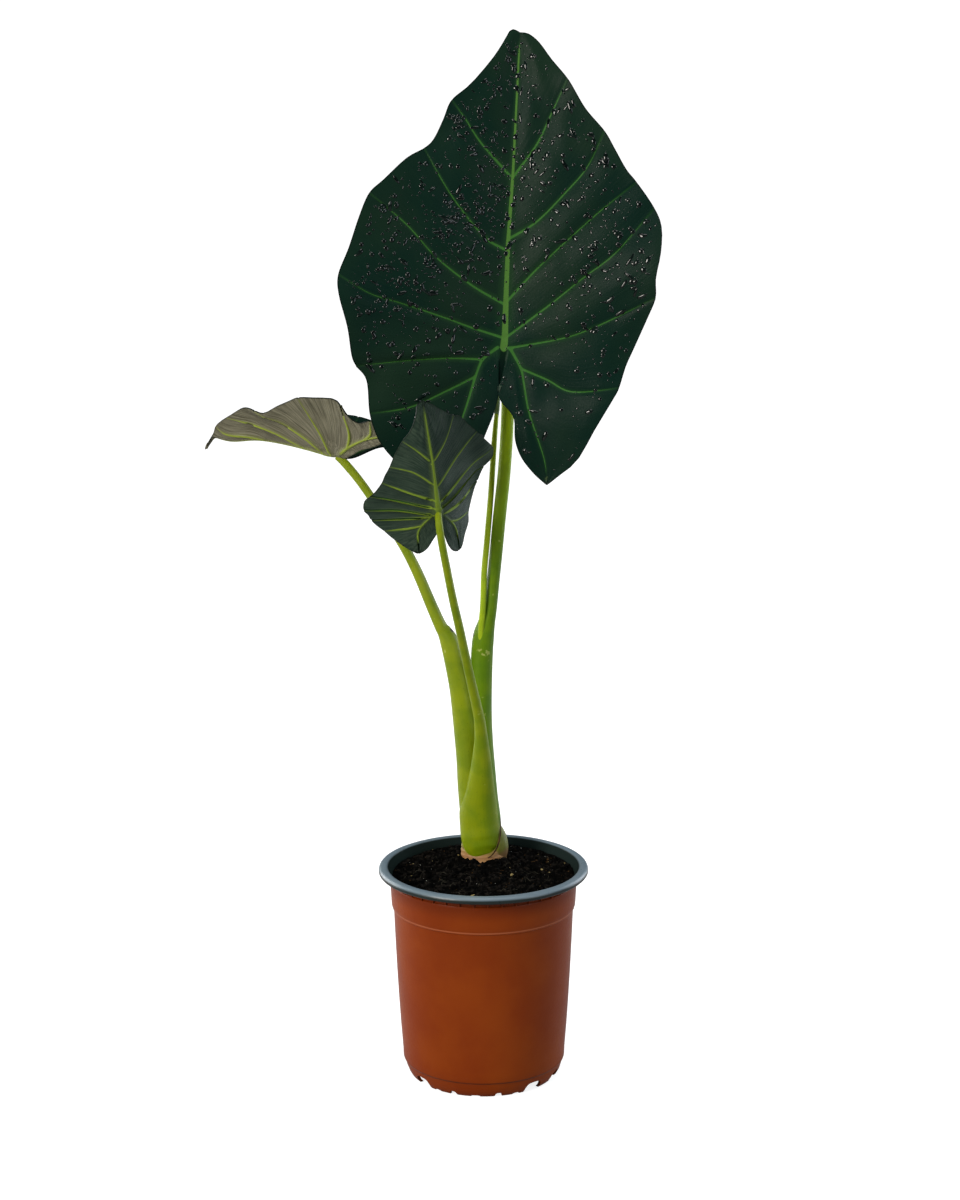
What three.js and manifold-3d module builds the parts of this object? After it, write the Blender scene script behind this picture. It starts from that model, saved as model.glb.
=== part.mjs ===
// Potted regal shields alocasia: a plastic nursery pot of soil with one corm,
// four leaf stalks that wrap each other at the base, three open blades and one rolled young blade.
// Millimetres, +Z up. The origin is the middle of the pot's underside, and the plant is seen from -Y.

import * as THREE from 'three';
import { mergeVertices } from 'three/addons/utils/BufferGeometryUtils.js';
import Module from 'manifold-3d';

const wasm = await Module();
wasm.setup();

// Driving dimensions of the pot
const potHeight = 143.9;
const rimRadius = 70;
const rimTopWidth = 6;
const potWall = 1.5;
const floorTop = 9.2;
const centreDiscRadius = 11;
const potSides = 48;
const footSegments = 3;
const footSegmentTurn = -6.5;
const drainArchWidth = 38;
const drainArchHeight = 6.8;
const drainNotchWidth = 5;
const drainNotchHeight = 2.8;
const drainNotchTurn = 17.6;

// Driving dimensions of the soil and the plant
const soilEdgeHeight = 139.5;
const soilMoundHeight = 5.5;
const soilMoundRadius = 26;
const plantCentre = [0.5, 27];
const fitGap = 0.3;
const bladeThickness = 0.9;
const stemSides = 14;

// Materials
const material = (color, roughness) => new THREE.MeshStandardMaterial({ color, roughness, metalness: 0 });
const terracottaPlastic = material(0xa8431c, 0.5);
const darkSoil = material(0x16130f, 0.95);
const cormSkin = material(0xb08d5c, 0.7);
const stalkGreen = material(0x7d9a1c, 0.45);
const bladeDarkGreen = material(0x10251d, 0.4);
const bladeUnderside = material(0x39423a, 0.5);
const youngGreen = material(0x5d7350, 0.5);

// Turns a closed three.js geometry into a solid that can be joined and cut
function toSolid(geometry) {
  const plain = geometry.index ? geometry.toNonIndexed() : geometry.clone();
  plain.deleteAttribute('normal');
  plain.deleteAttribute('uv');
  const merged = mergeVertices(plain, 1e-3);
  const indices = merged.index.array;
  const kept = [];
  for (let i = 0; i < indices.length; i += 3) {
    const [a, b, c] = [indices[i], indices[i + 1], indices[i + 2]];
    if (a !== b && b !== c && c !== a) kept.push(a, b, c);
  }
  return new wasm.Manifold(new wasm.Mesh({
    numProp: 3,
    vertProperties: new Float32Array(merged.attributes.position.array),
    triVerts: new Uint32Array(kept),
  }));
}

// Keeps the largest body of a solid and drops the scraps that a cut leaves
function largestBody(solid) {
  const bodies = solid.decompose();
  bodies.sort((a, b) => b.volume() - a.volume());
  return bodies[0];
}

// Turns a solid back into a named mesh
function toMesh(solid, name, look) {
  const { vertProperties, triVerts, numProp } = solid.getMesh();
  const positions = new Float32Array((vertProperties.length / numProp) * 3);
  for (let i = 0; i < positions.length / 3; i += 1) {
    for (let k = 0; k < 3; k += 1) positions[3 * i + k] = vertProperties[numProp * i + k];
  }
  const geometry = new THREE.BufferGeometry();
  geometry.setAttribute('position', new THREE.BufferAttribute(positions, 3));
  geometry.setIndex(Array.from(triVerts));
  geometry.computeVertexNormals();
  const mesh = new THREE.Mesh(geometry, look);
  mesh.name = name;
  return mesh;
}

// Lathes a profile of [radius, height] points round the pot's upright axis
function turned(profile, sides) {
  const geometry = new THREE.LatheGeometry(profile.map(([r, z]) => new THREE.Vector2(r, z)), sides);
  geometry.rotateX(Math.PI / 2);
  return geometry;
}

// Pot: a thin-walled shell with a rolled rim, a collar, a raised floor on a foot skirt
// and a small flat disc in the middle of the floor that reaches the table
const potProfile = [
  [0, 0], [centreDiscRadius, 0], [centreDiscRadius + 1, floorTop - 1.6], [50.9, floorTop - 1.6],
  [49.6, 4.6], [48, 2], [46.2, 0], [48.6, 0], [50, 1.2], [51.8, 4.4], [52.9, 8.2], [53.5, 10.4],
  [54.3, 11.2], [54.4, 17], [55.9, 34], [58.2, 73], [60, 114.6], [60.9, 116], [60.9, 117.8], [61.5, 118.7],
  [62.3, 133.6], [61.8, 134.4], [61.9, 137.2], [rimRadius - 1, 137.4], [rimRadius, 140],
  [rimRadius - 0.5, 142.8], [rimRadius - 1.6, potHeight], [rimRadius - rimTopWidth, potHeight],
  [62.4, 143], [61.4, 141], [60.8, 133], [60.1, 118.4], [58.6, 114], [58.2 - potWall, 73],
  [55.9 - potWall, 34], [52.9, 17], [52.2, 11.6], [50.6, floorTop], [0, floorTop],
];

// An arch that is cut through the foot skirt, wide at the table and round at the top
function footCut(turn, width, height) {
  const outline = new THREE.Shape();
  outline.moveTo(-width / 2, -1);
  outline.lineTo(width / 2, -1);
  outline.quadraticCurveTo(width * 0.42, height, width * 0.35, height);
  outline.lineTo(-width * 0.35, height);
  outline.quadraticCurveTo(-width * 0.42, height, -width / 2, -1);
  outline.closePath();
  const cutter = new THREE.ExtrudeGeometry(outline, { depth: 22, bevelEnabled: false, curveSegments: 3 });
  cutter.rotateX(Math.PI / 2);
  cutter.translate(0, -34, 0);
  cutter.rotateZ(THREE.MathUtils.degToRad(turn));
  return toSolid(cutter);
}

let pot = toSolid(turned(potProfile, potSides));
for (let segment = 0; segment < footSegments; segment += 1) {
  const turn = footSegmentTurn + (360 / footSegments) * segment;
  pot = pot.subtract(footCut(turn + 180 / footSegments, drainArchWidth, drainArchHeight));
  pot = pot.subtract(footCut(turn - drainNotchTurn, drainNotchWidth, drainNotchHeight));
  pot = pot.subtract(footCut(turn + drainNotchTurn, drainNotchWidth, drainNotchHeight));
}

// Soil: fills the pot, with a lumpy top that rises in a low mound round the plant
function soilTop(x, y) {
  const away = Math.hypot(x - plantCentre[0], y - plantCentre[1]) / soilMoundRadius;
  const lumps = 0.7 * Math.sin(0.31 * x + 1.3) * Math.cos(0.27 * y) + 0.4 * Math.sin(0.7 * x - 0.5 * y);
  return soilEdgeHeight + soilMoundHeight * Math.exp(-away * away) + lumps;
}

const soilWallGap = potWall + fitGap;
const soilProfile = [[0, floorTop + fitGap], [50.2, floorTop + fitGap], [51.8, 12], [52.6, 17],
  [55.9 - soilWallGap, 34], [58.2 - soilWallGap, 73], [58.3, 114], [59.7, 118.6], [60.3, 136]];
for (let ring = 0; ring <= 8; ring += 1) soilProfile.push([60.2 * (1 - ring / 8), soilEdgeHeight]);
const soilGeometry = turned(soilProfile, 44);
const soilPoints = soilGeometry.attributes.position;
for (let i = 0; i < soilPoints.count; i += 1) {
  if (soilPoints.getZ(i) > soilEdgeHeight - 1) {
    soilPoints.setZ(i, soilTop(soilPoints.getX(i), soilPoints.getY(i)));
  }
}

// Stalks and corm: rings of [x, y, z, half width, half depth] joined along a smooth line.
// Each ring lies square to the line, with its half width towards +X.
function lofted(sections, grow = 0, sides = stemSides, stepsBetween = 2) {
  const line = new THREE.CatmullRomCurve3(sections.map(([x, y, z]) => new THREE.Vector3(x, y, z)));
  const sizes = new THREE.CatmullRomCurve3(sections.map((s) => new THREE.Vector3(s[3], s[4], 0)));
  const rings = (sections.length - 1) * stepsBetween;
  const points = [];
  for (let ring = 0; ring <= rings; ring += 1) {
    const t = ring / rings;
    const centre = line.getPoint(t);
    const along = line.getTangent(t);
    const size = sizes.getPoint(t);
    const right = new THREE.Vector3(1, 0, 0).addScaledVector(along, -along.x).normalize();
    const back = along.clone().cross(right);
    for (let side = 0; side < sides; side += 1) {
      const angle = (2 * Math.PI * side) / sides;
      points.push(centre.clone()
        .addScaledVector(right, (size.x + grow) * Math.cos(angle))
        .addScaledVector(back, (size.y + grow) * Math.sin(angle)));
    }
  }
  const first = points.length;
  const firstEnd = line.getPoint(0).addScaledVector(line.getTangent(0), -grow);
  const lastEnd = line.getPoint(1).addScaledVector(line.getTangent(1), grow);
  points.push(firstEnd, lastEnd);
  const triangles = [];
  for (let side = 0; side < sides; side += 1) {
    const next = (side + 1) % sides;
    triangles.push(first, next, side);
    triangles.push(first + 1, rings * sides + side, rings * sides + next);
    for (let ring = 0; ring < rings; ring += 1) {
      const [low, high] = [ring * sides, (ring + 1) * sides];
      triangles.push(low + side, low + next, high + next, low + side, high + next, high + side);
    }
  }
  const geometry = new THREE.BufferGeometry().setFromPoints(points);
  geometry.setIndex(triangles);
  return toSolid(geometry);
}

const frontStalk = [
  [0.5, 18, 146.5, 4, 3.5], [0, 20, 148.5, 8, 7], [-0.8, 22.5, 152, 11.3, 10], [-1.8, 25, 158, 13.1, 12],
  [-2.4, 26, 165, 13.4, 12.6], [-3, 25.5, 174, 13.1, 12.2], [-2.8, 23.5, 184, 11.6, 10.8],
  [-2, 20.5, 194, 9.6, 9], [-1.3, 17, 205, 7.7, 7.2], [-1.1, 14, 216, 6.2, 6], [-1.3, 10.5, 229, 4.6, 4.8],
  [-2.4, 6.5, 243, 3.7, 4], [-4.9, 2, 257, 3.3, 3.5], [-8.3, -4, 274, 3.1, 3.2], [-11.8, -12, 293, 2.9, 3],
  [-15.2, -20, 312, 2.8, 2.9], [-19.4, -30, 334, 2.6, 2.7], [-23.4, -40, 358, 2.5, 2.5],
  [-26, -45.5, 374, 2.4, 2.4], [-27.6, -46, 386, 2.3, 2.3], [-28, -42.5, 392.5, 2, 2],
];
const leftStalk = [
  [-6, 28, 152, 7, 9], [-7, 28, 165, 8, 10.5], [-8.3, 28, 190, 8.8, 11], [-9.4, 28, 210, 8.6, 10.5],
  [-10.8, 28, 229, 8.7, 9.5], [-13.8, 28.5, 251, 7.7, 8], [-16.4, 29, 264, 6.8, 7], [-20, 30.5, 281, 6.4, 6],
  [-22.6, 32, 291, 6.1, 5.4], [-25.3, 33, 296.5, 5.1, 4.9], [-28.2, 33.5, 301, 4.2, 4.5],
  [-34.5, 36, 315, 3.8, 4.1], [-43.5, 40, 336, 3.5, 3.8], [-53, 43.5, 354, 3.2, 3.5],
  [-66.5, 48, 374, 2.8, 3.1], [-80.5, 52.5, 394, 2.6, 2.8], [-91, 56, 406.5, 2.5, 2.6],
  [-97, 58, 412.5, 2.2, 2.2],
];
const bigStalk = [
  [2, 28, 156, 9, 9], [1.6, 28, 167, 10.3, 10], [0.5, 28, 184, 9.4, 9.5], [-0.4, 28, 207, 8.3, 9],
  [-1.1, 28, 223, 7.8, 8.5], [-1.3, 28, 240, 7.3, 8], [-1.2, 28, 262, 7.3, 7.5], [-0.5, 27.5, 284, 7.3, 7],
  [0.6, 27, 296, 7, 6.4], [2.6, 26.5, 305, 5.7, 5.6], [4.9, 26, 316, 4.7, 4.9], [6.6, 25.5, 330, 4.3, 4.5],
  [8.6, 24, 350, 4.3, 4.3], [11.2, 21, 378, 4.3, 4.3], [14.4, 17, 410, 4.2, 4.2], [16.3, 13, 444, 4.1, 4.1],
  [16.2, 10.5, 470, 3.9, 3.9], [15.2, 7.5, 487, 3.7, 3.7], [14.2, 4.5, 496, 3, 3],
];
const youngStalk = [
  [-1.5, 26, 236, 2.2, 2.2], [-1.6, 25.5, 262, 2.2, 2.2], [-1.8, 24, 285, 2.1, 2.1], [-0.9, 21.8, 304, 2.1, 2.1],
  [0.2, 20.6, 318, 2, 2], [1, 20.6, 340, 2, 2], [2.9, 21, 361, 2, 2], [5.6, 21.5, 393, 1.9, 1.9],
  [7.7, 21.5, 426, 1.8, 1.8], [9.4, 21.5, 446, 1.4, 1.4],
];
const youngRoll = [
  [9.4, 21.6, 446.6, 1.2, 1.2], [9.2, 22, 453, 2.7, 2.6], [8.6, 23.5, 470, 3.8, 3.4], [7.6, 27, 495, 4, 3.6],
  [6.6, 31, 520, 3.4, 3], [5.8, 35, 545, 2.1, 2], [5.4, 38, 562, 0.7, 0.7],
];
const cormRings = [
  [0.5, 27, 117, 6, 6], [0.5, 27, 120, 11, 11], [0.5, 27, 127, 14.6, 14.6], [0.5, 27, 138, 15.6, 15.4],
  [0.5, 27, 146, 15.8, 15.4], [0.8, 27, 152, 15.4, 14.6], [2, 27.4, 157, 13.2, 13], [2.5, 28, 161, 9.5, 10],
  [2.5, 28, 163, 5, 5],
];
const oldLeafBase = [
  [5, 27, 136, 6, 6], [6.5, 26.6, 142, 8.8, 9], [7.6, 26.6, 149, 9.3, 9.4], [7.6, 27, 156, 8, 8.4],
  [6, 27.6, 163, 5.4, 6.4], [4.6, 28, 167, 3, 4],
];

// Blades: each is drawn flat, with u across and v along the midrib from the hub where the stalk joins,
// and is then set in space. A side lists its ribs from the leaf tip round to the tip of its back lobe.
// vein runs from the midrib or the back rib to the margin, and edge gives the margin up to the next vein.
// soft marks a line of the side that has no raised vein, and the sixth line of each side starts at the hub.
const bigBlade = {
  hub: [14, 4, 493.8], tip: [21.8, 35, 687.2], upperFace: [0, -1, 0.16], length: 197, fold: 13, arch: 6,
  apex: [-2.5, -33], ribHeight: 1.1, midribHeight: 2.6, puff: 2.2,
  waves: [[-52, 130, 16, -5], [-104, 22, 22, 4], [-92, -30, 18, -5], [98, 48, 25, 4], [86, 4, 20, -4],
    [68, -42, 20, 3], [30, -90, 16, -4], [40, 168, 16, 3]],
  left: [
    { vein: [[3, 197]], edge: [[-3, 198.5], [-8, 190], [-15, 179], [-28, 163]] },
    { vein: [[-1, 107], [-20, 126], [-31, 141], [-40, 152]], edge: [[-45, 140], [-51, 127]] },
    { vein: [[-3, 60], [-16, 67], [-35, 88], [-47, 105], [-57, 121]], edge: [[-68, 114], [-82, 100]] },
    { vein: [[-3.5, 26], [-23, 36], [-47, 53], [-66, 72], [-91, 91]], edge: [[-97, 76], [-103, 56]] },
    { vein: [[-3.5, 4], [-22, 9], [-41, 15], [-70, 23], [-89, 28], [-109, 39]], edge: [[-108, 26]] },
    { vein: [[-4, -3], [-30, 0], [-65, 5], [-102, 6]], edge: [[-99, -11]], soft: true },
    { vein: [[-14, -11], [-36, -11], [-63, -13.5], [-96, -18]], edge: [[-89, -27]] },
    { vein: [[-18, -22], [-37, -32], [-60, -43], [-86, -48]], edge: [[-80, -64], [-70, -76], [-57, -87]],
      spine: [[-22, -37], [-26, -50], [-33, -72]] },
    { vein: [[-41, -94]] },
  ],
  leftInner: [[-5, -45], [-9, -56], [-15, -71], [-25, -87]],
  right: [
    { vein: [[3, 197]], edge: [[9, 196], [16, 190.5], [24, 180.5]] },
    { vein: [[4.5, 109], [17, 127], [25, 145], [35, 168]], edge: [[47, 150]] },
    { vein: [[3.5, 68], [19, 78], [37, 97], [50, 113], [60, 136]], edge: [[67, 125], [75, 112]] },
    { vein: [[4, 30], [20, 48], [39, 66.5], [59, 85], [82, 104]], edge: [] },
    { vein: [[4.5, 6], [30, 26], [50, 43], [70, 59], [94, 88]], edge: [[99, 76], [99, 60], [96.5, 44]] },
    { vein: [[4, -3], [31, 2.5], [47, 7], [67, 16], [97, 32]], edge: [[93, 20], [85, 0], [80, -12]] },
    { vein: [[12, -16], [29.5, -22.5], [46, -29.5], [76, -26]], edge: [[72, -34], [62, -52], [51, -73], [39, -84]],
      spine: [[14.5, -28], [18, -43.5], [24.5, -60], [30, -75]] },
    { vein: [[32, -90]] },
  ],
  rightInner: [[0, -38], [8.5, -48], [10, -62], [14.5, -73], [23, -83]],
};
const frontBlade = {
  hub: [-28, -42, 392], tip: [-38.5, -69, 467], upperFace: [-0.38, 0.88, 0.27], length: 80, fold: 32, arch: 3,
  apex: [0, -9], ribHeight: 0.8, midribHeight: 1.9, puff: 1.3,
  waves: [[-48, -8, 20, 12], [-58, 22, 14, -4], [46, 10, 12, -3], [-30, 60, 14, 2]],
  left: [
    { vein: [[-2, 80]], edge: [[-9, 75], [-17, 67]] },
    { vein: [[-3.6, 37], [-17, 45], [-29, 56]], edge: [[-35, 53], [-41, 44.5]] },
    { vein: [[-3.4, 19], [-23, 28], [-48, 36]], edge: [[-54, 28]] },
    { vein: [[-3, 7], [-28, 13], [-61, 18]], edge: [[-61, 9]] },
    { vein: [[-2.7, 2.5], [-38, 5], [-54, 4]], edge: [[-51, 0]] },
    { vein: [[-2.5, -2], [-24, -4], [-47, -5]], edge: [[-41, -9]] },
    { vein: [[-9, -10], [-17, -13], [-30, -15]], edge: [[-27, -21], [-21, -26], [-17, -31]],
      spine: [[-12.5, -18]] },
    { vein: [[-13, -33.5]] },
  ],
  leftInner: [[-1.5, -15], [-3.2, -24], [-7, -31]],
  right: [
    { vein: [[-2, 80]], edge: [[2.5, 78.5], [5, 70], [10, 61]] },
    { vein: [[0, 38], [8, 47], [16, 54]], edge: [[21, 46]] },
    { vein: [[1.5, 22], [12, 31], [27, 36]], edge: [[31, 30]] },
    { vein: [[2.5, 10], [20, 18], [34, 25]], edge: [[39, 19.5]] },
    { vein: [[2.8, 4], [22, 10], [43, 16.5]], edge: [[48, 13]] },
    { vein: [[3, -1], [25, 4], [49.5, 7]], edge: [[47, 3]] },
    { vein: [[6, -1.8], [24, -2], [45.5, -1]], edge: [[42, -6]] },
    { vein: [[13, -7.5], [25, -9.5], [38, -10]], edge: [[34, -15], [29, -20], [24, -24.5]],
      spine: [[16.5, -13.5]] },
    { vein: [[18, -28]] },
  ],
  rightInner: [[2.5, -13], [7, -18.5], [12, -24.5]],
};
const leftBlade = {
  hub: [-97, 58, 412], tip: [-188, 116, 417.5], upperFace: [0.121, 0.19, 0.974], length: 108, fold: 45, arch: 13,
  apex: [0, -5], ribHeight: 0.9, midribHeight: 2.1, puff: 1.5, curl: [101, 80],
  waves: [[-35, 50, 13, -3], [-52, -32, 13, -3], [-60, -14, 14, 2], [44, 30, 16, -3], [54, 0, 24, -8],
    [18, -26, 12, 5], [0, 88, 16, -3.5]],
  left: [
    { vein: [[0, 107]], edge: [[-2.6, 103.5], [-8, 99.5]] },
    { vein: [[-2, 62], [-6, 76], [-9, 90], [-14, 96]], edge: [[-17, 92]] },
    { vein: [[-2.5, 30], [-11, 44], [-17, 62], [-22, 85]], edge: [[-27, 76], [-32, 67]] },
    { vein: [[-2.8, 12], [-12, 20], [-23, 37], [-33.5, 58]], edge: [[-33.5, 50], [-39, 38.5], [-46, 26]] },
    { vein: [[-3, 4], [-20, 6], [-35, 11], [-51, 17]], edge: [[-53.5, 5], [-56, -6]] },
    { vein: [[-3, -2], [-20, -7], [-38, -12], [-57, -13]], edge: [], soft: true },
    { vein: [[-17, -15], [-30, -20], [-44, -20.5], [-55, -19]], edge: [[-50, -24], [-48, -33]] },
    { vein: [[-31, -33], [-39, -40], [-52, -43]], edge: [[-53, -50], [-50, -57]], spine: [[-37, -44]] },
    { vein: [[-43, -60]] },
  ],
  leftInner: [[-4, -9], [-15, -22], [-24, -35], [-34, -50]],
  right: [
    { vein: [[0, 107]], edge: [[2.6, 103.5], [8, 99.5]] },
    { vein: [[2, 62], [6, 76], [10, 89], [16, 94]], edge: [[22, 86]] },
    { vein: [[2.5, 30], [12, 44], [20, 60], [27, 78]], edge: [[32, 66]] },
    { vein: [[2.8, 12], [14, 22], [26, 36], [38, 53]], edge: [[43, 40], [48, 28]] },
    { vein: [[3, 4], [20, 7], [36, 11], [52, 16]], edge: [[54, 3]] },
    { vein: [[3, -2], [22, -6], [40, -9], [54, -10]], edge: [], soft: true },
    { vein: [[16, -14], [30, -19], [43, -20], [52, -20]], edge: [[49, -30], [48, -38]] },
    { vein: [[27, -27], [36, -36], [46, -44]], edge: [[44, -51]], spine: [[33, -38]] },
    { vein: [[36, -55]] },
  ],
  rightInner: [[4, -9], [14, -19], [22, -30], [30, -44]],
};

const flatPoint = ([u, v]) => new THREE.Vector2(u, v);

// The lines of one side, from the leaf tip to the lobe tip. Each line is a row of flat points from
// the midrib to the margin, with puff for the swelling between veins and vein for the rib's height.
function sideLines(ribs, across, between) {
  const spine = [];
  const margin = [];
  const spineAt = [];
  const marginAt = [];
  for (const rib of ribs) {
    spineAt.push(spine.length);
    marginAt.push(margin.length);
    spine.push(rib.vein[0], ...(rib.spine ?? []));
    margin.push(rib.vein.at(-1), ...(rib.edge ?? []));
  }
  const marginCurve = new THREE.SplineCurve(margin.map(flatPoint));
  const onMargin = (index) => marginCurve.getPoint(index / (margin.length - 1));
  const onSpine = (index) => {
    const whole = Math.min(Math.floor(index), spine.length - 2);
    return flatPoint(spine[whole]).lerp(flatPoint(spine[whole + 1]), index - whole);
  };
  const veins = ribs.map(({ vein }) => (vein.length > 1 ? new THREE.SplineCurve(vein.map(flatPoint)) : null));
  const onVein = (i, r) => (veins[i] ? veins[i].getPointAt(r) : flatPoint(ribs[i].vein[0]));
  const lines = [];
  for (let i = 0; i < ribs.length - 1; i += 1) {
    for (const a of [0, ...between]) {
      const start = onSpine(spineAt[i] + a * (spineAt[i + 1] - spineAt[i]));
      const end = onMargin(marginAt[i] + a * (marginAt[i + 1] - marginAt[i]));
      const startShift = start.clone().sub(onVein(i, 0).lerp(onVein(i + 1, 0), a));
      const endShift = end.clone().sub(onVein(i, 1).lerp(onVein(i + 1, 1), a));
      const isVein = a === 0 && i > 0 && !ribs[i].soft;
      const swell = (ribs[i].soft && a === 0) || a > 0 ? Math.max(Math.sin(Math.PI * a), ribs[i].soft ? 0.7 : 0) : 0;
      lines.push(across.map((r) => {
        const point = onVein(i, r).lerp(onVein(i + 1, r), a)
          .addScaledVector(startShift, 1 - r).addScaledVector(endShift, r);
        return { point, puff: swell * Math.sin(Math.PI * Math.min(r * 0.9, 1)), vein: isVein ? 1 - 0.8 * r : 0 };
      }));
    }
  }
  const last = flatPoint(ribs.at(-1).vein[0]);
  lines.push(across.map(() => ({ point: last.clone(), puff: 0, vein: 0 })));
  return lines;
}

// The whole blade as flat points and triangles: two outer sides, two inner sides of the back lobes,
// and the narrow midrib strip, which runs on below the hub to the apex of the notch between the lobes
function flatBlade(blade) {
  const across = [0, 0.1, 0.3, 0.52, 0.75, 1];
  const inward = [0, 0.45, 1];
  const between = [0.16, 0.5, 0.84];
  const hubLine = 5 * (between.length + 1);
  const cells = [];
  const patch = (rows, faceUp) => {
    for (let i = 0; i < rows.length - 1; i += 1) {
      for (let j = 0; j < rows[i].length - 1; j += 1) {
        const corners = [rows[i][j], rows[i][j + 1], rows[i + 1][j + 1], rows[i + 1][j]];
        cells.push(faceUp ? corners : corners.reverse());
      }
    }
  };
  const stripSides = [];
  for (const [ribs, innerEdge] of [[blade.left, blade.leftInner], [blade.right, blade.rightInner]]) {
    const isLeft = ribs === blade.left;
    const lines = sideLines(ribs, across, between);
    const lobeLines = lines.slice(hubLine);
    const edgePoints = [blade.apex, ...innerEdge, ribs.at(-1).vein[0]];
    const edgeCurve = new THREE.SplineCurve(edgePoints.map(flatPoint));
    lobeLines.forEach((line, k) => { line[0].vein = 0.9 * (1 - k / (lobeLines.length - 1)); });
    const inner = lobeLines.map((line, k) => {
      const end = edgeCurve.getPoint(k / (lobeLines.length - 1));
      return inward.map((r) => (r === 0 ? line[0]
        : { point: line[0].point.clone().lerp(end, r), puff: 0.6 * Math.sin(Math.PI * r), vein: 0 }));
    });
    patch(lines, isLeft);
    patch(inner, !isLeft);
    stripSides.push([...lines.slice(0, hubLine + 1).map((line) => line[0]), ...inner[0].slice(1)]);
  }
  const strip = stripSides[0].map((leftEdge, k) => {
    const rightEdge = stripSides[1][k];
    const middle = { point: leftEdge.point.clone().lerp(rightEdge.point, 0.5), puff: 0, vein: 0 };
    middle.midrib = k <= hubLine ? 0.12 + 0.88 * (k / hubLine) : 0.5 * (1 - (k - hubLine) / (inward.length - 1));
    return [leftEdge, middle, rightEdge];
  });
  patch(strip, false);
  const points = [];
  const found = new Map();
  const indexOf = (vertex) => {
    const key = `${vertex.point.x.toFixed(3)} ${vertex.point.y.toFixed(3)}`;
    if (!found.has(key)) {
      found.set(key, points.length);
      points.push(vertex);
    }
    return found.get(key);
  };
  const triangles = [];
  const addTriangle = (a, b, c) => {
    if (a !== b && b !== c && c !== a) triangles.push([a, b, c]);
  };
  for (const corners of cells) {
    const [a, b, c, d] = corners.map(indexOf);
    addTriangle(a, b, c);
    addTriangle(a, c, d);
  }
  return { points, triangles };
}

// Where a flat point of the blade lies in space: folded up along the midrib, arched towards the tip,
// with waves of the margin given as [u, v, radius, height]
function placeBlade(blade) {
  const hub = new THREE.Vector3(...blade.hub);
  const up = new THREE.Vector3(...blade.upperFace).normalize();
  const along = new THREE.Vector3(...blade.tip).addScaledVector(up, blade.arch).sub(hub).normalize();
  up.addScaledVector(along, -up.dot(along)).normalize();
  const acrossAxis = along.clone().cross(up);
  const fold = THREE.MathUtils.degToRad(blade.fold);
  const keelRadius = 6;
  const [curlStart, curlDrop] = blade.curl ?? [Infinity, 0];
  return ({ point: { x: u, y: v }, puff }) => {
    let lift = (Math.hypot(u, keelRadius) - keelRadius) * Math.sin(fold) + puff * blade.puff;
    if (v > 0) lift -= blade.arch * (v / blade.length) ** 2;
    if (v > curlStart) lift -= curlDrop * ((v - curlStart) / (blade.length + 10 - curlStart)) ** 2;
    for (const [cu, cv, radius, height] of blade.waves) {
      lift += height * Math.exp(-((u - cu) ** 2 + (v - cv) ** 2) / radius ** 2);
    }
    return hub.clone().addScaledVector(acrossAxis, u * Math.cos(fold))
      .addScaledVector(along, v).addScaledVector(up, lift);
  };
}

// The closed blade: the middle surface is thickened along its own normals, with raised ribs below
// and shallow grooves above. The triangles are alike on both faces.
function bladeSolid(blade, grow = 0) {
  const { points, triangles } = flatBlade(blade);
  const place = placeBlade(blade);
  const middle = points.map(place);
  const normals = middle.map(() => new THREE.Vector3());
  for (const [a, b, c] of triangles) {
    const normal = middle[b].clone().sub(middle[a]).cross(middle[c].clone().sub(middle[a]));
    for (const corner of [a, b, c]) normals[corner].add(normal);
  }
  const half = bladeThickness / 2 + grow;
  const vertices = [];
  points.forEach((vertex, i) => {
    const normal = normals[i].normalize();
    const rib = vertex.vein * blade.ribHeight + (vertex.midrib ?? 0) * blade.midribHeight;
    vertices.push(middle[i].clone().addScaledVector(normal, half - 0.3 * Math.min(1, rib)));
    vertices.push(middle[i].clone().addScaledVector(normal, -half - rib));
  });
  const faces = [];
  const openEdges = new Map();
  for (const [a, b, c] of triangles) {
    faces.push(2 * a, 2 * b, 2 * c, 2 * a + 1, 2 * c + 1, 2 * b + 1);
    for (const [from, to] of [[a, b], [b, c], [c, a]]) {
      if (!openEdges.delete(`${to} ${from}`)) openEdges.set(`${from} ${to}`, [from, to]);
    }
  }
  for (const [from, to] of openEdges.values()) {
    faces.push(2 * from, 2 * from + 1, 2 * to + 1, 2 * from, 2 * to + 1, 2 * to);
  }
  const geometry = new THREE.BufferGeometry().setFromPoints(vertices);
  geometry.setIndex(faces);
  return toSolid(geometry);
}

// Fitting: the outer stalks keep their shape and the inner ones are cut clear of them,
// the stalks' tops are cut clear of the blades, and the soil is cut clear of the corm
const bladeFront = bladeSolid(frontBlade);
const bladeLeft = bladeSolid(leftBlade);
const bladeBig = bladeSolid(bigBlade);
const bladeYoung = lofted(youngRoll);

const frontOuter = lofted(frontStalk, fitGap);
const leftOuter = lofted(leftStalk, fitGap);
const bigOuter = lofted(bigStalk, fitGap);
const youngOuter = lofted(youngStalk, fitGap);

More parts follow.
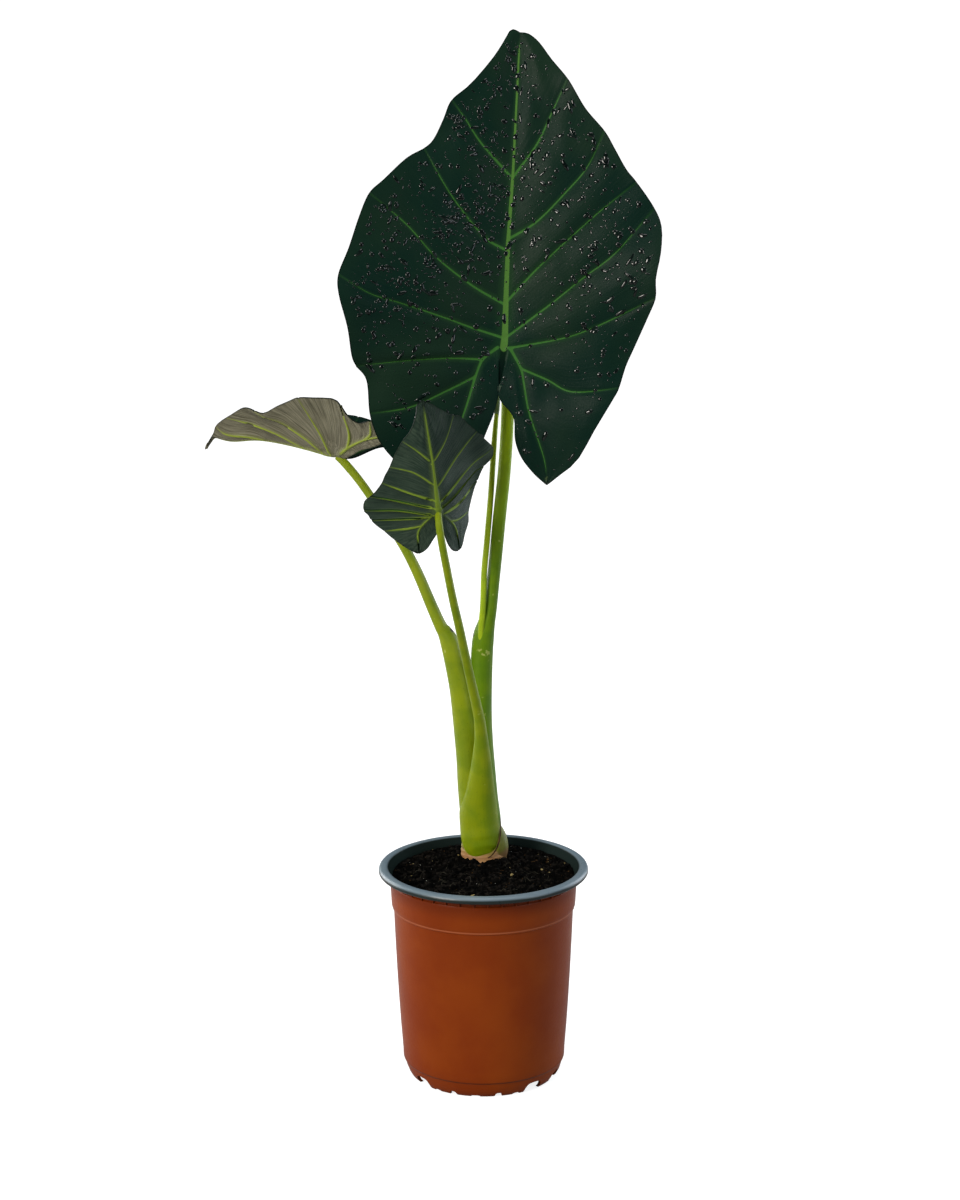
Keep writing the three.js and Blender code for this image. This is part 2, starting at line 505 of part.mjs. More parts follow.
const stalkFront = largestBody(lofted(frontStalk).subtract(bladeSolid(frontBlade, fitGap)));
const stalkLeft = largestBody(lofted(leftStalk).subtract(bladeSolid(leftBlade, fitGap)).subtract(bladeLeft).subtract(frontOuter));
const stalkYoung = largestBody(lofted(youngStalk).subtract(frontOuter).subtract(leftOuter));
const stalkBig = largestBody(lofted(bigStalk).subtract(bladeSolid(bigBlade, fitGap))
  .subtract(frontOuter).subtract(leftOuter).subtract(youngOuter));
const corm = largestBody(lofted(cormRings, 0, 20).add(lofted(oldLeafBase, 0, 16))
  .subtract(frontOuter).subtract(leftOuter).subtract(bigOuter));
const cormOuter = lofted(cormRings, fitGap, 20).add(lofted(oldLeafBase, fitGap, 16));
const soil = largestBody(toSolid(soilGeometry).subtract(cormOuter).subtract(frontOuter));

const plant = new THREE.Group();
plant.add(
  toMesh(pot, 'pot', terracottaPlastic),
  toMesh(soil, 'soil', darkSoil),
  toMesh(corm, 'corm', cormSkin),
  toMesh(stalkBig, 'stalk_big', stalkGreen),
  toMesh(bladeBig, 'blade_big', bladeDarkGreen),
  toMesh(stalkFront, 'stalk_front', stalkGreen),
  toMesh(bladeFront, 'blade_front', bladeUnderside),
  toMesh(stalkLeft, 'stalk_left', stalkGreen),
  toMesh(bladeLeft, 'blade_left', bladeUnderside),
  toMesh(stalkYoung, 'stalk_young', stalkGreen),
  toMesh(bladeYoung, 'blade_young', youngGreen),
);

export default plant;
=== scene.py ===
# A young regal shields alocasia in its nursery pot: what the plant and pot look like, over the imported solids.
# Tables of points are in millimetres, as grown and as moulded, and MM turns them into metres.

import math
import random

import bpy
from mathutils import Matrix, Vector, noise


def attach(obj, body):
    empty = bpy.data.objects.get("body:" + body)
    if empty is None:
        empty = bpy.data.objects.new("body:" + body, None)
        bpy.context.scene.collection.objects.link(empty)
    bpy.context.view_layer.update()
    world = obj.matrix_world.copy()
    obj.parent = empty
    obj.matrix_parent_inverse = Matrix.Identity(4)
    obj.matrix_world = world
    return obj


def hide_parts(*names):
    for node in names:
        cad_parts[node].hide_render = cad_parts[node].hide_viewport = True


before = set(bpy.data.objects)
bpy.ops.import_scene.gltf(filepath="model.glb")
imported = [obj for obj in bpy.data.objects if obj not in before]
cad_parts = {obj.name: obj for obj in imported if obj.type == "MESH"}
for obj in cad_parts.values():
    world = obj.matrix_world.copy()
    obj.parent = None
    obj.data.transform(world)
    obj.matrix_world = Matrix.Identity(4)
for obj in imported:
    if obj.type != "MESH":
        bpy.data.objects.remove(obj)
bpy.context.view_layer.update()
MM = 0.001

# Camera: a little above the middle of the plant, looking down on it from the front,
# with the long side of the picture upright.
CAMERA_PLACE = (-0.0018, -1.7, 0.705)
CAMERA_DOWN = 12.57
CAMERA_ROLL = -0.16
camera_data = bpy.data.cameras.new("camera")
camera_data.lens = 80
camera_data.sensor_fit = "VERTICAL"
camera_data.sensor_height = 36
camera_data.clip_end = 60
camera = bpy.data.objects.new("camera", camera_data)
camera.matrix_world = (
    Matrix.Translation(CAMERA_PLACE)
    @ Matrix.Rotation(math.radians(90 - CAMERA_DOWN), 4, "X")
    @ Matrix.Rotation(math.radians(CAMERA_ROLL), 4, "Z")
)
bpy.context.scene.collection.objects.link(camera)
bpy.context.scene.camera = camera


# Pot: a thin-walled nursery pot, moulded in two layers, terracotta outside and blue-grey inside.
# Its rim is rolled, the collar below it has small ribs in its groove, and the foot skirt
# is cut away in three pairs of arches, with notches and shallow drain slits between them.
POT_SIDES = 144
COLLAR_RIBS = 42
FOOT_TURN = -6.5
SKIRT_RADIUS = 45
CUT_REACH = 11
POT_PROFILE = [
    (11, 0), (12, 7.6), (50.9, 7.6), (49.6, 4.6), (48, 2), (46.2, 0), (48.6, 0), (50, 1.2), (51.8, 4.4),
    (52.9, 8.2), (53.4, 10.2), (53.6, 10.6), (54.1, 11.1), (54.4, 12), (54.6, 17), (55.2, 25), (55.9, 34),
    (57.1, 53), (58.2, 73), (59.2, 95), (60, 114.6), (60.1, 115.8), (60.3, 116.5), (60.9, 117), (61, 117.8),
    (61.4, 118.7), (61.6, 121), (62.3, 134), (62.4, 135.3), (62.2, 136), (61.5, 136.4), (61.4, 139.9),
    (65, 140.1), (68.6, 140.3), (69.4, 140.7), (69.9, 141.3), (70, 142), (69.9, 142.8), (69.5, 143.8),
    (68.9, 144.5), (68, 144.9), (66, 145), (64.6, 144.8), (63.8, 144.3), (63.1, 143.2), (61.8, 141.4),
    (60.7, 139), (60.5, 133), (60.1, 118.4), (58.6, 114), (56.7, 73), (54.4, 34), (52.9, 17), (52.2, 11.6),
    (50.6, 9.2), (6, 9.2),
]


def select_only(piece):
    bpy.ops.object.select_all(action="DESELECT")
    piece.select_set(True)
    bpy.context.view_layer.objects.active = piece


def join_pieces(pieces, name):
    select_only(pieces[0])
    for piece in pieces:
        piece.select_set(True)
    bpy.ops.object.join()
    pieces[0].name = name
    pieces[0].data.name = name
    return pieces[0]


def apply_modifier(piece, kind, **settings):
    select_only(piece)
    modifier = piece.modifiers.new(kind.lower(), kind)
    for name, value in settings.items():
        setattr(modifier, name, value)
    bpy.ops.object.modifier_apply(modifier=modifier.name)


def add_piece(make, **settings):
    """A new piece by one of the mesh tools, with nothing else selected."""
    bpy.ops.object.select_all(action="DESELECT")
    make(**settings)
    return bpy.context.object


def face_outward():
    """Turns the faces of the piece that is being edited outward, and ends the editing."""
    bpy.ops.mesh.select_all(action="SELECT")
    bpy.ops.mesh.normals_make_consistent(inside=False)
    bpy.ops.object.mode_set(mode="OBJECT")


def close_piece():
    """Fills the open ends of the piece that is being edited, and finishes it with face_outward."""
    bpy.ops.mesh.select_all(action="DESELECT")
    bpy.ops.mesh.select_non_manifold()
    bpy.ops.mesh.edge_face_add()
    face_outward()


pot = add_piece(bpy.ops.mesh.primitive_circle_add, vertices=POT_SIDES, radius=POT_PROFILE[0][0] * MM)
bpy.ops.object.mode_set(mode="EDIT")
bpy.ops.mesh.select_all(action="SELECT")
for (near, low), (far, high) in zip(POT_PROFILE, POT_PROFILE[1:]):
    bpy.ops.mesh.extrude_region_move(TRANSFORM_OT_translate={"value": (0, 0, (high - low) * MM)})
    bpy.ops.transform.resize(value=(far / near, far / near, 1), center_override=(0, 0, 0))
bpy.ops.mesh.edge_face_add()
close_piece()

# Each cut is [turn in degrees, width, height, squareness], through the skirt only
foot_cuts = []
for segment in range(3):
    turn = FOOT_TURN + 120 * segment
    for side in (-1, 1):
        foot_cuts.append((turn + 46.3 * side, 13.5, 6.8, 0.6))
        foot_cuts.append((turn + 17.6 * side, 5, 3, 0.8))
        foot_cuts.append((turn + 32 * side, 5, 1.5, 0.8))
    foot_cuts.append((turn, 6, 1.3, 0.6))
cutters = []
for turn, width, height, squareness in foot_cuts:
    cutter = add_piece(bpy.ops.mesh.primitive_cylinder_add, vertices=28, radius=1, depth=2)
    for vertex in cutter.data.vertices:
        across, up, out = vertex.co
        square_across = math.copysign(abs(across) ** squareness, across)
        square_up = math.copysign(abs(up) ** squareness, up)
        vertex.co = (
            square_across * width / 2 * MM, (CUT_REACH * out - SKIRT_RADIUS) * MM, square_up * height * MM
        )
    cutter.data.transform(Matrix.Rotation(math.radians(turn), 4, "Z"))
    cutters.append(cutter)
foot_cutter = join_pieces(cutters, "foot_cutter")
bpy.ops.object.mode_set(mode="EDIT")
face_outward()
apply_modifier(pot, "BOOLEAN", operation="DIFFERENCE", solver="EXACT", object=foot_cutter)
bpy.data.objects.remove(foot_cutter)

collar_ribs = []
for rib in range(COLLAR_RIBS):
    collar_rib = add_piece(bpy.ops.mesh.primitive_cube_add, size=1)
    collar_rib.data.transform(Matrix.Diagonal((0.8 * MM, 1.5 * MM, 3.8 * MM, 1)))
    collar_rib.data.transform(Matrix.Translation((0, -62.05 * MM, 137.9 * MM)))
    collar_rib.data.transform(Matrix.Rotation(math.tau * (rib + 0.3) / COLLAR_RIBS, 4, "Z"))
    collar_ribs.append(collar_rib)
collar_rib = join_pieces(collar_ribs, "collar_ribs")
apply_modifier(collar_rib, "BEVEL", width=0.2 * MM, segments=2)
pot = join_pieces([pot, collar_rib], "nursery_pot")
bpy.ops.object.shade_smooth_by_angle(angle=math.radians(32))


def plug(value, socket):
    if isinstance(value, bpy.types.NodeSocket):
        socket.id_data.links.new(value, socket)
    elif isinstance(value, tuple) and len(value) == 3 and len(socket.default_value) == 4:
        socket.default_value = (*value, 1)
    else:
        socket.default_value = value


def add_node(near, kind, inputs=None, **settings):
    """A new node in the tree that the given tree, node or socket belongs to."""
    made = near.id_data.nodes.new(kind)
    for name, value in settings.items():
        setattr(made, name, value)
    for name, value in (inputs or {}).items():
        plug(value, made.inputs[name])
    return made


def reckon(operation, first, second=0.5):
    return add_node(first, "ShaderNodeMath", {0: first, 1: second}, operation=operation).outputs[0]


def soft_step(value, low, high, from_value=0.0, to_value=1.0):
    limits = {"Value": value, "From Min": low, "From Max": high, "To Min": from_value, "To Max": to_value}
    return add_node(value, "ShaderNodeMapRange", limits, interpolation_type="SMOOTHSTEP").outputs[0]


def noise_at(vector, scale, detail):
    return add_node(vector, "ShaderNodeTexNoise", {"Vector": vector, "Scale": scale, "Detail": detail}).outputs[0]


def height_of(coords):
    return add_node(coords, "ShaderNodeSeparateXYZ", {0: coords}).outputs[2]


def mix_colours(factor, first, second):
    return add_node(factor, "ShaderNodeMix", {0: factor, 6: first, 7: second}, data_type="RGBA").outputs[2]


def lay_over(colour, mask, share, shade):
    """Lays a shade over a colour where the mask is, by no more than the share."""
    return mix_colours(reckon("MULTIPLY", mask, share), colour, shade)


def new_finish(name, **sockets):
    material = bpy.data.materials.new(name)
    material.use_nodes = True
    shader = material.node_tree.nodes["Principled BSDF"]
    for socket, value in sockets.items():
        shader.inputs[socket.replace("_", " ")].default_value = value
    return material, shader, add_node(shader, "ShaderNodeTexCoord").outputs["Object"]


def set_surface(shader, colour, roughness, relief, depth, strength=1.0):
    """Gives the shader its colour and roughness, and a fine relief of the given depth."""
    plug(colour, shader.inputs["Base Color"])
    plug(roughness, shader.inputs["Roughness"])
    made = add_node(shader, "ShaderNodeBump", {"Height": relief, "Distance": depth, "Strength": strength})
    plug(made.outputs["Normal"], shader.inputs["Normal"])


# Mottle: soft cloudy patches, and small scattered specks, that every grown and moulded surface has
mottle = bpy.data.node_groups.new("mottle", "ShaderNodeTree")
for label, kind, way in (
    ("Coords", "NodeSocketVector", "INPUT"), ("Cloud Scale", "NodeSocketFloat", "INPUT"),
    ("Speck Scale", "NodeSocketFloat", "INPUT"), ("Speck Size", "NodeSocketFloat", "INPUT"),
    ("Clouds", "NodeSocketFloat", "OUTPUT"), ("Specks", "NodeSocketFloat", "OUTPUT"),
    ("Grain", "NodeSocketFloat", "OUTPUT"),
):
    mottle.interface.new_socket(name=label, in_out=way, socket_type=kind)
mottle_in = add_node(mottle, "NodeGroupInput").outputs
mottle_out = add_node(mottle, "NodeGroupOutput").inputs
clouds = noise_at(mottle_in["Coords"], mottle_in["Cloud Scale"], 4.0)
plug(soft_step(clouds, 0.32, 0.68), mottle_out["Clouds"])
specks = add_node(
    mottle, "ShaderNodeTexVoronoi", {"Vector": mottle_in["Coords"], "Scale": mottle_in["Speck Scale"]}
).outputs["Distance"]
speck_edge = reckon("MULTIPLY", mottle_in["Speck Size"], 1.6)
plug(soft_step(specks, speck_edge, mottle_in["Speck Size"]), mottle_out["Specks"])
plug(noise_at(mottle_in["Coords"], mottle_in["Speck Scale"], 3.0), mottle_out["Grain"])


def add_mottle(coords, cloud_scale, speck_scale, speck_size):
    values = {"Coords": coords, "Cloud Scale": cloud_scale, "Speck Scale": speck_scale, "Speck Size": speck_size}
    return add_node(coords, "ShaderNodeGroup", values, node_tree=mottle).outputs


terracotta, shader, coords = new_finish("terracotta_plastic", Specular_IOR_Level=0.12)
marks = add_mottle(coords, 26.0, 520.0, 0.045)
colour = mix_colours(marks["Clouds"], (0.156, 0.0215, 0.0004), (0.184, 0.0300, 0.0008))
colour = lay_over(colour, marks["Specks"], 0.35, (0.30, 0.08, 0.03))
height = height_of(coords)
# Two lines round the pot: a pale one along the bead at 117.8 mm is a painted highlight on its ridge, and a dark
# one at 10.9 mm lies by the small step above the foot skirt.
for line_height, tint in ((0.1178, (0.30, 0.085, 0.035)), (0.0109, (0.060, 0.010, 0.001))):
    near_line = reckon("ABSOLUTE", reckon("SUBTRACT", height, line_height))
    colour = mix_colours(soft_step(near_line, 0.0007, 0.0003, 0.0, 0.8), colour, tint)
# Painted shadow of the rim: the collar is darkened towards its top, under the rim.
colour = mix_colours(soft_step(height, 0.1240, 0.1355, 0.0, 0.75), colour, (0.090, 0.011, 0.0003))
set_surface(shader, colour, soft_step(marks["Grain"], 0.2, 0.8, 0.28, 0.38), marks["Grain"], 0.00006)

grey_layer, shader, coords = new_finish("blue_grey_plastic", Specular_IOR_Level=0.25)
marks = add_mottle(coords, 30.0, 420.0, 0.05)
colour = mix_colours(marks["Clouds"], (0.102, 0.140, 0.168), (0.124, 0.164, 0.192))
height = height_of(coords)
# Painted shade: the inner wall is darkened to nearly black below the top of the rim.
colour = mix_colours(soft_step(height, 0.1440, 0.1425), colour, (0.008, 0.013, 0.012))
level = add_node(coords, "ShaderNodeVectorMath", {0: coords, 1: (1, 1, 0)}, operation="MULTIPLY").outputs[0]
from_axis = add_node(coords, "ShaderNodeVectorMath", {0: level}, operation="LENGTH").outputs["Value"]
# Painted shade: the inner wall is darkened as well inward of the rim's inner edge.
colour = mix_colours(soft_step(from_axis, 0.0648, 0.0636), colour, (0.008, 0.013, 0.012))
plug(soft_step(from_axis, 0.0636, 0.0648, 0.0, 0.25), shader.inputs["Specular IOR Level"])
colour = lay_over(colour, marks["Specks"], 0.4, (0.03, 0.03, 0.028))
set_surface(shader, colour, soft_step(marks["Grain"], 0.2, 0.8, 0.26, 0.40), marks["Grain"], 0.00005)

pot.data.materials.append(terracotta)
pot.data.materials.append(grey_layer)
for polygon in pot.data.polygons:
    out = Vector((polygon.center.x, polygon.center.y, 0)).normalized()
    facing_in = polygon.normal.dot(out) < -0.2 and polygon.center.z > 0.0095
    in_floor = polygon.normal.z > 0.5 and 0.009 < polygon.center.z < 0.02
    in_rim = polygon.center.z > 0.1390 and polygon.center.xy.length > 0.0625
    polygon.material_index = 1 if facing_in or in_floor or in_rim else 0
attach(pot, "root")
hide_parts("pot")


# Soil: moist black peat, pressed loosely up to the rim and mounded round the plant.
# It is crumbly, with bits of bark, a few pale grains and fine root fibres on top.
PLANT_CENTRE = (0.5, 27)
SOIL_RADIUS = 60.4
SOIL_TOP = 139.5
MOUND_HEIGHT = 5.5
MOUND_WIDTH = 26
SOIL_GRID = 170
ROOT_FIBRES = 44
FIBRE_STEPS = 6
SOIL_WALLS = [
    (60.2, 136), (59.6, 118.6), (58.2, 114), (56.3, 73), (54, 34), (52.5, 17), (51.7, 12), (50.1, 9.5)
]


def soil_height(x, y):
    away = math.hypot(x - PLANT_CENTRE[0], y - PLANT_CENTRE[1]) / MOUND_WIDTH
    lumps = 0.7 * math.sin(0.31 * x + 1.3) * math.cos(0.27 * y) + 0.4 * math.sin(0.7 * x - 0.5 * y)
    place = Vector((x, y, 3.0))
    crumbs = 1.9 * noise.turbulence(place * 0.22, 4, False) + 0.9 * noise.turbulence(place * 0.8, 2, True) - 1.3
    rim_fade = min(1.0, max(0.0, (60.5 - math.hypot(x, y)) / 5))
    mound = SOIL_TOP + MOUND_HEIGHT * math.exp(-away * away)
    return mound + lumps * rim_fade + crumbs * (0.35 + 0.65 * rim_fade)


def piece_from(name, points, faces):
    mesh = bpy.data.meshes.new(name)
    mesh.from_pydata(points, [], faces)
    piece = bpy.data.objects.new(name, mesh)
    bpy.context.scene.collection.objects.link(piece)
    return piece


def ring_faces(first, sides, rings):
    """The faces between rings of points that were added one after another from the first point on."""
    faces = []
    for start in range(first, first + rings * sides, sides):
        for side in range(sides):
            low, next_low = start + side, start + (side + 1) % sides
            faces.append((low, next_low, next_low + sides, low + sides))
    return faces


soil = add_piece(bpy.ops.mesh.primitive_grid_add, x_subdivisions=SOIL_GRID, y_subdivisions=SOIL_GRID, size=2)
for vertex in soil.data.vertices:
    across, deep = vertex.co.x, vertex.co.y
    x = SOIL_RADIUS * across * math.sqrt(1 - deep * deep / 2)
    y = SOIL_RADIUS * deep * math.sqrt(1 - across * across / 2)
    vertex.co = Vector((x, y, soil_height(x, y))) * MM
bpy.ops.object.mode_set(mode="EDIT")
bpy.ops.mesh.select_all(action="DESELECT")
bpy.ops.mesh.select_non_manifold()
ring_radius = SOIL_RADIUS
for radius, height in SOIL_WALLS:
    bpy.ops.mesh.extrude_region_move()
    shrink = radius / ring_radius
    bpy.ops.transform.resize(value=(shrink, shrink, 0), center_override=(0, 0, height * MM))
    ring_radius = radius
bpy.ops.mesh.edge_face_add()
face_outward()
bpy.ops.object.shade_smooth()

# One broken crumb, copied over the soil as peat, bark, pale bits and sand grains.
# Each kind is [count, smallest, largest, finish].
crumb = add_piece(bpy.ops.mesh.primitive_ico_sphere_add, subdivisions=1, radius=1)
crumb_points = [vertex.co.copy() for vertex in crumb.data.vertices]
crumb_faces = [tuple(polygon.vertices) for polygon in crumb.data.polygons]
bpy.data.objects.remove(crumb)
chance = random.Random(41)
CRUMB_KINDS = [(2300, 0.3, 1.5, 1), (110, 0.25, 0.9, 2), (26, 0.35, 1.25, 3), (60, 0.15, 0.34, 4)]
points = []
faces = []
face_kinds = []
for count, smallest, largest, kind in CRUMB_KINDS:
    for _ in range(count):
        out = 59.4 * math.sqrt(chance.random())
        angle = math.tau * chance.random()
        x, y = out * math.cos(angle), out * math.sin(angle)
        size = smallest + (largest - smallest) * chance.random() ** 2.2
        if math.hypot(x - PLANT_CENTRE[0], y - PLANT_CENTRE[1]) < 15.5 + size:
            continue
        centre = Vector((x, y, soil_height(x, y) + 0.25 * size))
        turn = Matrix.Rotation(math.tau * chance.random(), 3, "Z") @ Matrix.Rotation(chance.random(), 3, "X")
        stretch = Vector((1 + 0.9 * chance.random(), 0.7 + 0.3 * chance.random(), 0.6 + 0.3 * chance.random()))
        first = len(points)
        for point in crumb_points:
            rough = size * (0.75 + 0.5 * chance.random())
            points.append((centre + turn @ Vector(a * b for a, b in zip(point, stretch)) * rough) * MM)
        faces.extend(tuple(first + corner for corner in face) for face in crumb_faces)
        face_kinds.extend([kind] * len(crumb_faces))
for _ in range(ROOT_FIBRES):
    out, angle = 55 * math.sqrt(chance.random()), math.tau * chance.random()
    heading = math.tau * chance.random()
    x, y = out * math.cos(angle), out * math.sin(angle)
    if math.hypot(x - PLANT_CENTRE[0], y - PLANT_CENTRE[1]) < 20:
        continue
    first = len(points)
    for step in range(FIBRE_STEPS + 1):
        heading += 0.9 * (chance.random() - 0.5)
        x += 1.1 * math.cos(heading)
        y += 1.1 * math.sin(heading)
        if math.hypot(x, y) > 58.5:
            x, y = x * 0.97, y * 0.97
        lift = 0.5 + 0.9 * math.sin(math.pi * step / FIBRE_STEPS)
        for corner in range(3):
            swing = math.tau * corner / 3
            thin = 0.13 * (1 - 0.07 * step)
            side = Vector((-math.sin(heading), math.cos(heading), 0)) * math.cos(swing) * thin
            points.append((Vector((x, y, soil_height(x, y) + lift + thin * math.sin(swing))) + side) * MM)
    last = len(points) - 3
    faces += [*ring_faces(first, 3, FIBRE_STEPS), (first + 2, first + 1, first), (last, last + 1, last + 2)]
    face_kinds += [5] * (3 * FIBRE_STEPS + 2)
crumbs = piece_from("crumbs", points, faces)
SOIL_COLOURS = [
    ("peat", (0.0003, 0.0004, 0.0004), (0.0026, 0.0023, 0.0020)),
    ("peat_crumb", (0.0008, 0.0009, 0.0009), (0.0100, 0.0085, 0.0070)),
    ("bark_bit", (0.020, 0.011, 0.004), (0.060, 0.032, 0.013)),
    ("pale_bit", (0.16, 0.115, 0.045), (0.30, 0.24, 0.11)),
    ("sand_grain", (0.20, 0.21, 0.19), (0.42, 0.42, 0.38)),
    ("root_fibre", (0.020, 0.019, 0.014), (0.060, 0.056, 0.042)),
]
for name, dark, light in SOIL_COLOURS:
    finish, shader, coords = new_finish(name, Specular_IOR_Level=0.01)
    marks = add_mottle(coords, 240.0, 1100.0, 0.04)
    colour = mix_colours(marks["Clouds"], dark, light)
    set_surface(shader, colour, soft_step(marks["Clouds"], 0.0, 1.0, 0.72, 0.95), marks["Grain"], 0.0006)
    soil.data.materials.append(finish)
    crumbs.data.materials.append(finish)
for polygon, kind in zip(crumbs.data.polygons, face_kinds):
    polygon.material_index = kind
soil = join_pieces([soil, crumbs], "peat_soil")
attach(soil, "root")
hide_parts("soil")


# Corm: the swollen beige foot of the stem, half buried, with faint rings where old leaves sat,
# the pale stump of an old leaf base that bulges out on its right, and a thin dry scale round that.
def smooth_point(points, t):
    place = min(max(t, 0.0), 1.0) * (len(points) - 1)
    i = min(int(place), len(points) - 2)
    w = place - i
    before, start, end, after = (
        points[max(i - 1, 0)], points[i], points[i + 1], points[min(i + 2, len(points) - 1)]
    )
    leave = (end - before) * 0.5
    arrive = (after - start) * 0.5
    return (
        start * (2 * w**3 - 3 * w**2 + 1) + leave * (w**3 - 2 * w**2 + w)
        + end * (3 * w**2 - 2 * w**3) + arrive * (w**3 - w**2)
    )


def grown_tube(name, sections, sides, steps, shape=None):
    """A stem through rings of [x, y, z, half width, half depth], closed at both ends."""
    line = [Vector(section[:3]) for section in sections]
    sizes = [Vector((section[3], section[4], 0)) for section in sections]
    rings = (len(sections) - 1) * steps
    tube = add_piece(bpy.ops.mesh.primitive_grid_add, x_subdivisions=sides, y_subdivisions=rings)
    around = tube.data.attributes.new("around", "FLOAT_VECTOR", "POINT")
    for index, vertex in enumerate(tube.data.vertices):
        t, side = (index // (sides + 1)) / rings, index % (sides + 1)
        angle = math.tau * side / sides
        centre = smooth_point(line, t)
        along = (smooth_point(line, min(t + 0.004, 1)) - smooth_point(line, max(t - 0.004, 0))).normalized()
        right = (Vector((1, 0, 0)) - along * along.x).normalized()
        back = along.cross(right)
        size = smooth_point(sizes, t)
        swell = shape(t, angle) if shape else 1.0
        offset = right * size.x * math.cos(angle) + back * size.y * math.sin(angle)
        vertex.co = (centre + offset * swell) * MM
        around.data[index].vector = (math.cos(angle), math.sin(angle), t)
    bpy.ops.object.mode_set(mode="EDIT")
    bpy.ops.mesh.select_all(action="SELECT")
    bpy.ops.mesh.remove_doubles(threshold=0.000002)
    close_piece()
    bpy.ops.object.shade_smooth_by_angle(angle=math.radians(50))
    tube.name = name
    tube.data.name = name
    return tube


CORM = [
    (0.5, 27, 117, 6, 6), (0.5, 27, 120, 11, 11), (0.5, 27, 127, 14.4, 14.4), (0.5, 27, 136, 15, 14.6),
    (0.5, 27, 142, 15.4, 13.4), (0.6, 27.4, 147, 15.6, 12.2), (0.8, 28, 152, 15, 11), (2, 28, 157, 13, 10),
    (2.5, 28, 161, 9.5, 9), (2.5, 28, 163, 5, 5),
]
OLD_LEAF_BASE = [
    (5, 27, 136, 6, 6), (6.5, 26.6, 142, 8.8, 9), (7.6, 26.6, 149, 9.3, 9.4), (7.6, 27, 156, 8, 8.4),
    (6, 27.6, 163, 5.4, 6.4), (4.6, 28, 167, 3, 4),
]
DRY_SCALE = [
    (11.4, 24, 171, 0.2, 0.2), (11.7, 22, 165, 0.35, 0.35), (11.2, 18.6, 158, 0.45, 0.45),
    (9.2, 15.2, 152, 0.5, 0.5), (6.2, 13.8, 147.5, 0.45, 0.45), (3.2, 14.2, 144.8, 0.3, 0.3),
]


def corm_shape(t, angle):
    rings = 0.012 * math.sin(95 * t + 0.6 * math.sin(2 * angle))
    return 1 + rings + 0.012 * noise.noise(Vector((2.5 * math.cos(angle), 2.5 * math.sin(angle), 9 * t)))


corm_body = grown_tube("corm_body", CORM, 56, 7, corm_shape)
leaf_stump = grown_tube("leaf_stump", OLD_LEAF_BASE, 40, 7)

corm_skin, shader, coords = new_finish("corm_skin", Specular_IOR_Level=0.2)
marks = add_mottle(coords, 130.0, 700.0, 0.06)
height = reckon("ADD", height_of(coords), reckon("MULTIPLY", marks["Clouds"], 0.0022))
colour = mix_colours(soft_step(height, 0.1465, 0.1505), (0.265, 0.140, 0.055), (0.170, 0.150, 0.026))
rings = add_node(
    coords, "ShaderNodeTexWave", {"Vector": coords, "Scale": 60.0, "Distortion": 4.5, "Detail": 3.0},
    bands_direction="Z",
).outputs[1]
colour = mix_colours(soft_step(rings, 0.80, 1.0, 0.0, 0.35), colour, (0.110, 0.040, 0.014))
colour = mix_colours(soft_step(height, 0.1415, 0.1395), colour, (0.05, 0.022, 0.010))
colour = lay_over(colour, marks["Specks"], 0.6, (0.10, 0.05, 0.02))
set_surface(shader, colour, soft_step(marks["Grain"], 0.2, 0.8, 0.42, 0.62), marks["Grain"], 0.00025)

stump_skin, shader, coords = new_finish("old_leaf_base_skin", Specular_IOR_Level=0.2)
marks = add_mottle(coords, 120.0, 800.0, 0.07)
height = reckon("ADD", height_of(coords), reckon("MULTIPLY", marks["Clouds"], 0.003))
colour = mix_colours(marks["Clouds"], (0.085, 0.100, 0.006), (0.125, 0.130, 0.012))
colour = mix_colours(soft_step(height, 0.1525, 0.1465), colour, (0.140, 0.078, 0.028))
colour = lay_over(colour, marks["Specks"], 0.7, (0.05, 0.03, 0.012))
set_surface(shader, colour, soft_step(marks["Grain"], 0.2, 0.8, 0.4, 0.6), marks["Grain"], 0.0002)

scale_skin, shader, coords = new_finish("dry_scale_edge", Specular_IOR_Level=0.1, Roughness=0.8)
marks = add_mottle(coords, 300.0, 900.0, 0.05)
colour = mix_colours(marks["Clouds"], (0.016, 0.008, 0.003), (0.055, 0.026, 0.010))
plug(colour, shader.inputs["Base Color"])

corm_body.data.materials.append(corm_skin)
leaf_stump.data.materials.append(stump_skin)
dry_scale = grown_tube("dry_scale", DRY_SCALE, 12, 6)
dry_scale.data.materials.append(scale_skin)
corm = join_pieces([corm_body, leaf_stump, dry_scale], "corm_with_leaf_stump")
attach(corm, "root")
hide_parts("corm")


# Leaf stalks: juicy, smooth stalks whose lower ends broaden into sheaths. The small front leaf's
# swollen sheath wraps all the others at the corm, and the new leaf's slim stalk comes out
# of the big stalk's sheath. The sheaths of the big and left leaves end above in a small dry brown edge.
FRONT_STALK = [
    (0.6, 17.2, 143.4, 3.6, 2.4), (0.2, 18.6, 145, 7.6, 5.6), (-0.7, 21.2, 149, 11.4, 9.4),
    (-1.8, 24.4, 156, 13.2, 12), (-2.4, 26, 165, 13.4, 12.6), (-3, 25.5, 174, 13.1, 12.2),
    (-2.8, 23.5, 184, 11.6, 10.8), (-2, 20.5, 194, 9.6, 9), (-1.3, 17, 205, 7.7, 7.2),
    (-1.1, 14, 216, 6.2, 6), (-1.3, 10.5, 229, 4.6, 4.8), (-2.4, 6.5, 243, 3.7, 4), (-4.9, 2, 257, 3.3, 3.5),
    (-8.3, -4, 274, 3.1, 3.2), (-11.8, -12, 293, 2.9, 3), (-15.2, -20, 312, 2.8, 2.9),
    (-19.4, -30, 334, 2.6, 2.7), (-23.4, -40, 358, 2.5, 2.5), (-26, -45.5, 374, 2.4, 2.4),
    (-27.6, -46, 386, 2.3, 2.3), (-28, -42.8, 391.6, 2, 2),
]
